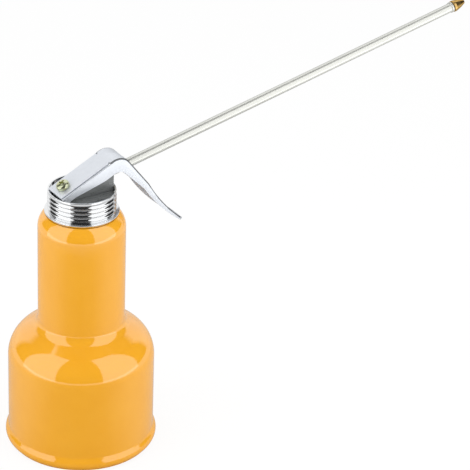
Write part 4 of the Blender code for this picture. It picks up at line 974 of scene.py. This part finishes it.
def floor():
    """A white table top. To plated parts it glows with painted levels, dimmer in front as painted
    shade near the can, up to its front edge.
    """
    form = bmesh.new()
    bmesh.ops.create_grid(form, x_segments=1, y_segments=1, size=TABLE_HALF)
    bmesh.ops.translate(form, vec=(0.0, 0.0, TABLE), verts=form.verts)
    finish = Finish("pale_floor", grey(0.75), roughness=0.9, metallic=0.0)
    where = finish.node("ShaderNodeTexCoord").outputs["Object"]
    share, front, _ = camera_turn(finish, where)
    level = finish.mix(finish.range(finish.length(where), *FAR_SPAN),
                       finish.ramp(share, greys(FLOOR_LEVELS)), grey(FAR_FLOOR))
    level = finish.mix(finish.range(front, TABLE_FRONT, TABLE_FRONT + FRONT_BLUR), level,
                       grey(FRONT_LEVEL))
    # What glossy rays see: a painted glow, dim in front of the can as painted shade.
    mirrored = finish.node("ShaderNodeEmission", {"Color": level, "Strength": 1.0})
    glow = finish.node("ShaderNodeEmission", {"Strength": FLOOR_GLOW})
    path = finish.node("ShaderNodeLightPath").outputs
    shown = finish.calc("MULTIPLY", path["Is Camera Ray"], FLOOR_SHOWN)
    seen = finish.mix_shaders(path["Is Glossy Ray"], finish.shader.outputs[0], mirrored.outputs[0])
    seen = finish.mix_shaders(shown, seen, glow.outputs[0])
    finish.feed(finish.tree.nodes["Material Output"].inputs["Surface"], seen)
    mesh_object("floor", form, finish.material)


def backdrop():
    """White to the camera, a soft fill for dull surfaces. Plated parts mirror a dark room with
    a white sheet behind the object."""
    world = bpy.data.worlds.new("studio")
    bpy.context.scene.world = world
    world.use_nodes = True
    nodes = Nodes(world.node_tree)
    shown = nodes.tree.nodes["Background"]
    nodes.feed(shown.inputs["Color"], grey(1.0))
    nodes.feed(shown.inputs["Strength"], 1.0)
    fill = nodes.node("ShaderNodeBackground", {"Color": grey(1.0), "Strength": FILL_LEVEL})
    where = nodes.node("ShaderNodeTexCoord").outputs["Generated"]
    share, _, height = camera_turn(nodes, where, BACKDROP_ASIDE)
    ceiling = [math.sin(math.radians(elevation)) for elevation in CEILING_SPAN]
    level = nodes.mix(nodes.range(height, *ceiling), nodes.ramp(share, greys(BACKDROP_LEVELS)),
                      grey(CEILING_LEVEL))
    mirrored = nodes.node("ShaderNodeBackground", {"Color": level, "Strength": 1.0})
    path = nodes.node("ShaderNodeLightPath").outputs
    seen = nodes.mix_shaders(path["Is Glossy Ray"], fill.outputs[0], mirrored.outputs[0])
    seen = nodes.mix_shaders(path["Is Camera Ray"], seen, shown.outputs[0])
    nodes.feed(nodes.tree.nodes["World Output"].inputs["Surface"], seen)


def softbox(name, side, end):
    """A light panel that stands on the table, turned aside from the camera. It runs outwards
    from PANEL_START to end."""
    turn = math.radians(CAMERA_AZIMUTH + PANEL_TURN * side)
    towards = Vector((math.sin(turn), -math.cos(turn), 0.0))
    outwards = Vector((math.cos(turn), math.sin(turn), 0.0)) * side
    width, height = end - PANEL_START, PANEL_HEIGHT
    data = bpy.data.lights.new(name, "AREA")
    data.shape = "RECTANGLE"
    data.size, data.size_y = width, height
    data.energy = PANEL_LEVEL * math.pi * width * height
    lamp = bpy.data.objects.new(name, data)
    bpy.context.scene.collection.objects.link(lamp)
    lamp.location = towards * PANEL_DISTANCE + outwards * (PANEL_START + end) / 2
    lamp.location.z = TABLE + height / 2
    lamp.rotation_mode = "QUATERNION"
    lamp.rotation_quaternion = (-towards).to_track_quat("-Z", "Y")
    lamp.visible_camera = False


def camera():
    """The photograph's camera, fitted to the can's measured edges. The image's width, focal
    length and middle are in pixels, and so is the place where it shows a point on the can's
    axis, which has a height above the table and a depth before the camera."""
    azimuth, elevation, roll = map(math.radians, (CAMERA_AZIMUTH, CAMERA_ELEVATION, CAMERA_ROLL))
    image, focal, middle_x, middle_y = 470.0, 2500.0, 188.5, 235.5
    height, seen_x, seen_y, depth = 85.0 * MM, 81.42, 308.48, 1465.53 * MM
    sensor = 36.0                   # in millimetres
    anchor = Vector((0.0, 0.0, height + TABLE))
    back = Vector((math.sin(azimuth) * math.cos(elevation), -math.cos(azimuth) * math.cos(elevation),
                   math.sin(elevation)))
    level = Vector((math.cos(azimuth), math.sin(azimuth), 0.0))
    above = back.cross(level)
    right = level * math.cos(roll) + above * math.sin(roll)
    up = above * math.cos(roll) - level * math.sin(roll)
    data = bpy.data.cameras.new("camera")
    data.sensor_width = sensor
    data.lens = focal * sensor / image
    data.shift_x = (image / 2 - middle_x) / image
    data.shift_y = (middle_y - image / 2) / image
    data.clip_start, data.clip_end = 0.01, 100.0
    made = bpy.data.objects.new("camera", data)
    bpy.context.scene.collection.objects.link(made)
    matrix = Matrix((right, up, back)).transposed().to_4x4()
    matrix.translation = (anchor + back * depth - right * (seen_x - middle_x) * depth / focal
                          + up * (seen_y - middle_y) * depth / focal)
    made.matrix_world = matrix
    bpy.context.scene.camera = made


floor()
backdrop()
softbox("left_softbox", side=-1, end=0.40)
softbox("right_softbox", side=1, end=0.46)
camera()

bpy.context.scene.view_settings.view_transform = "Standard"

bpy.context.view_layer.update()
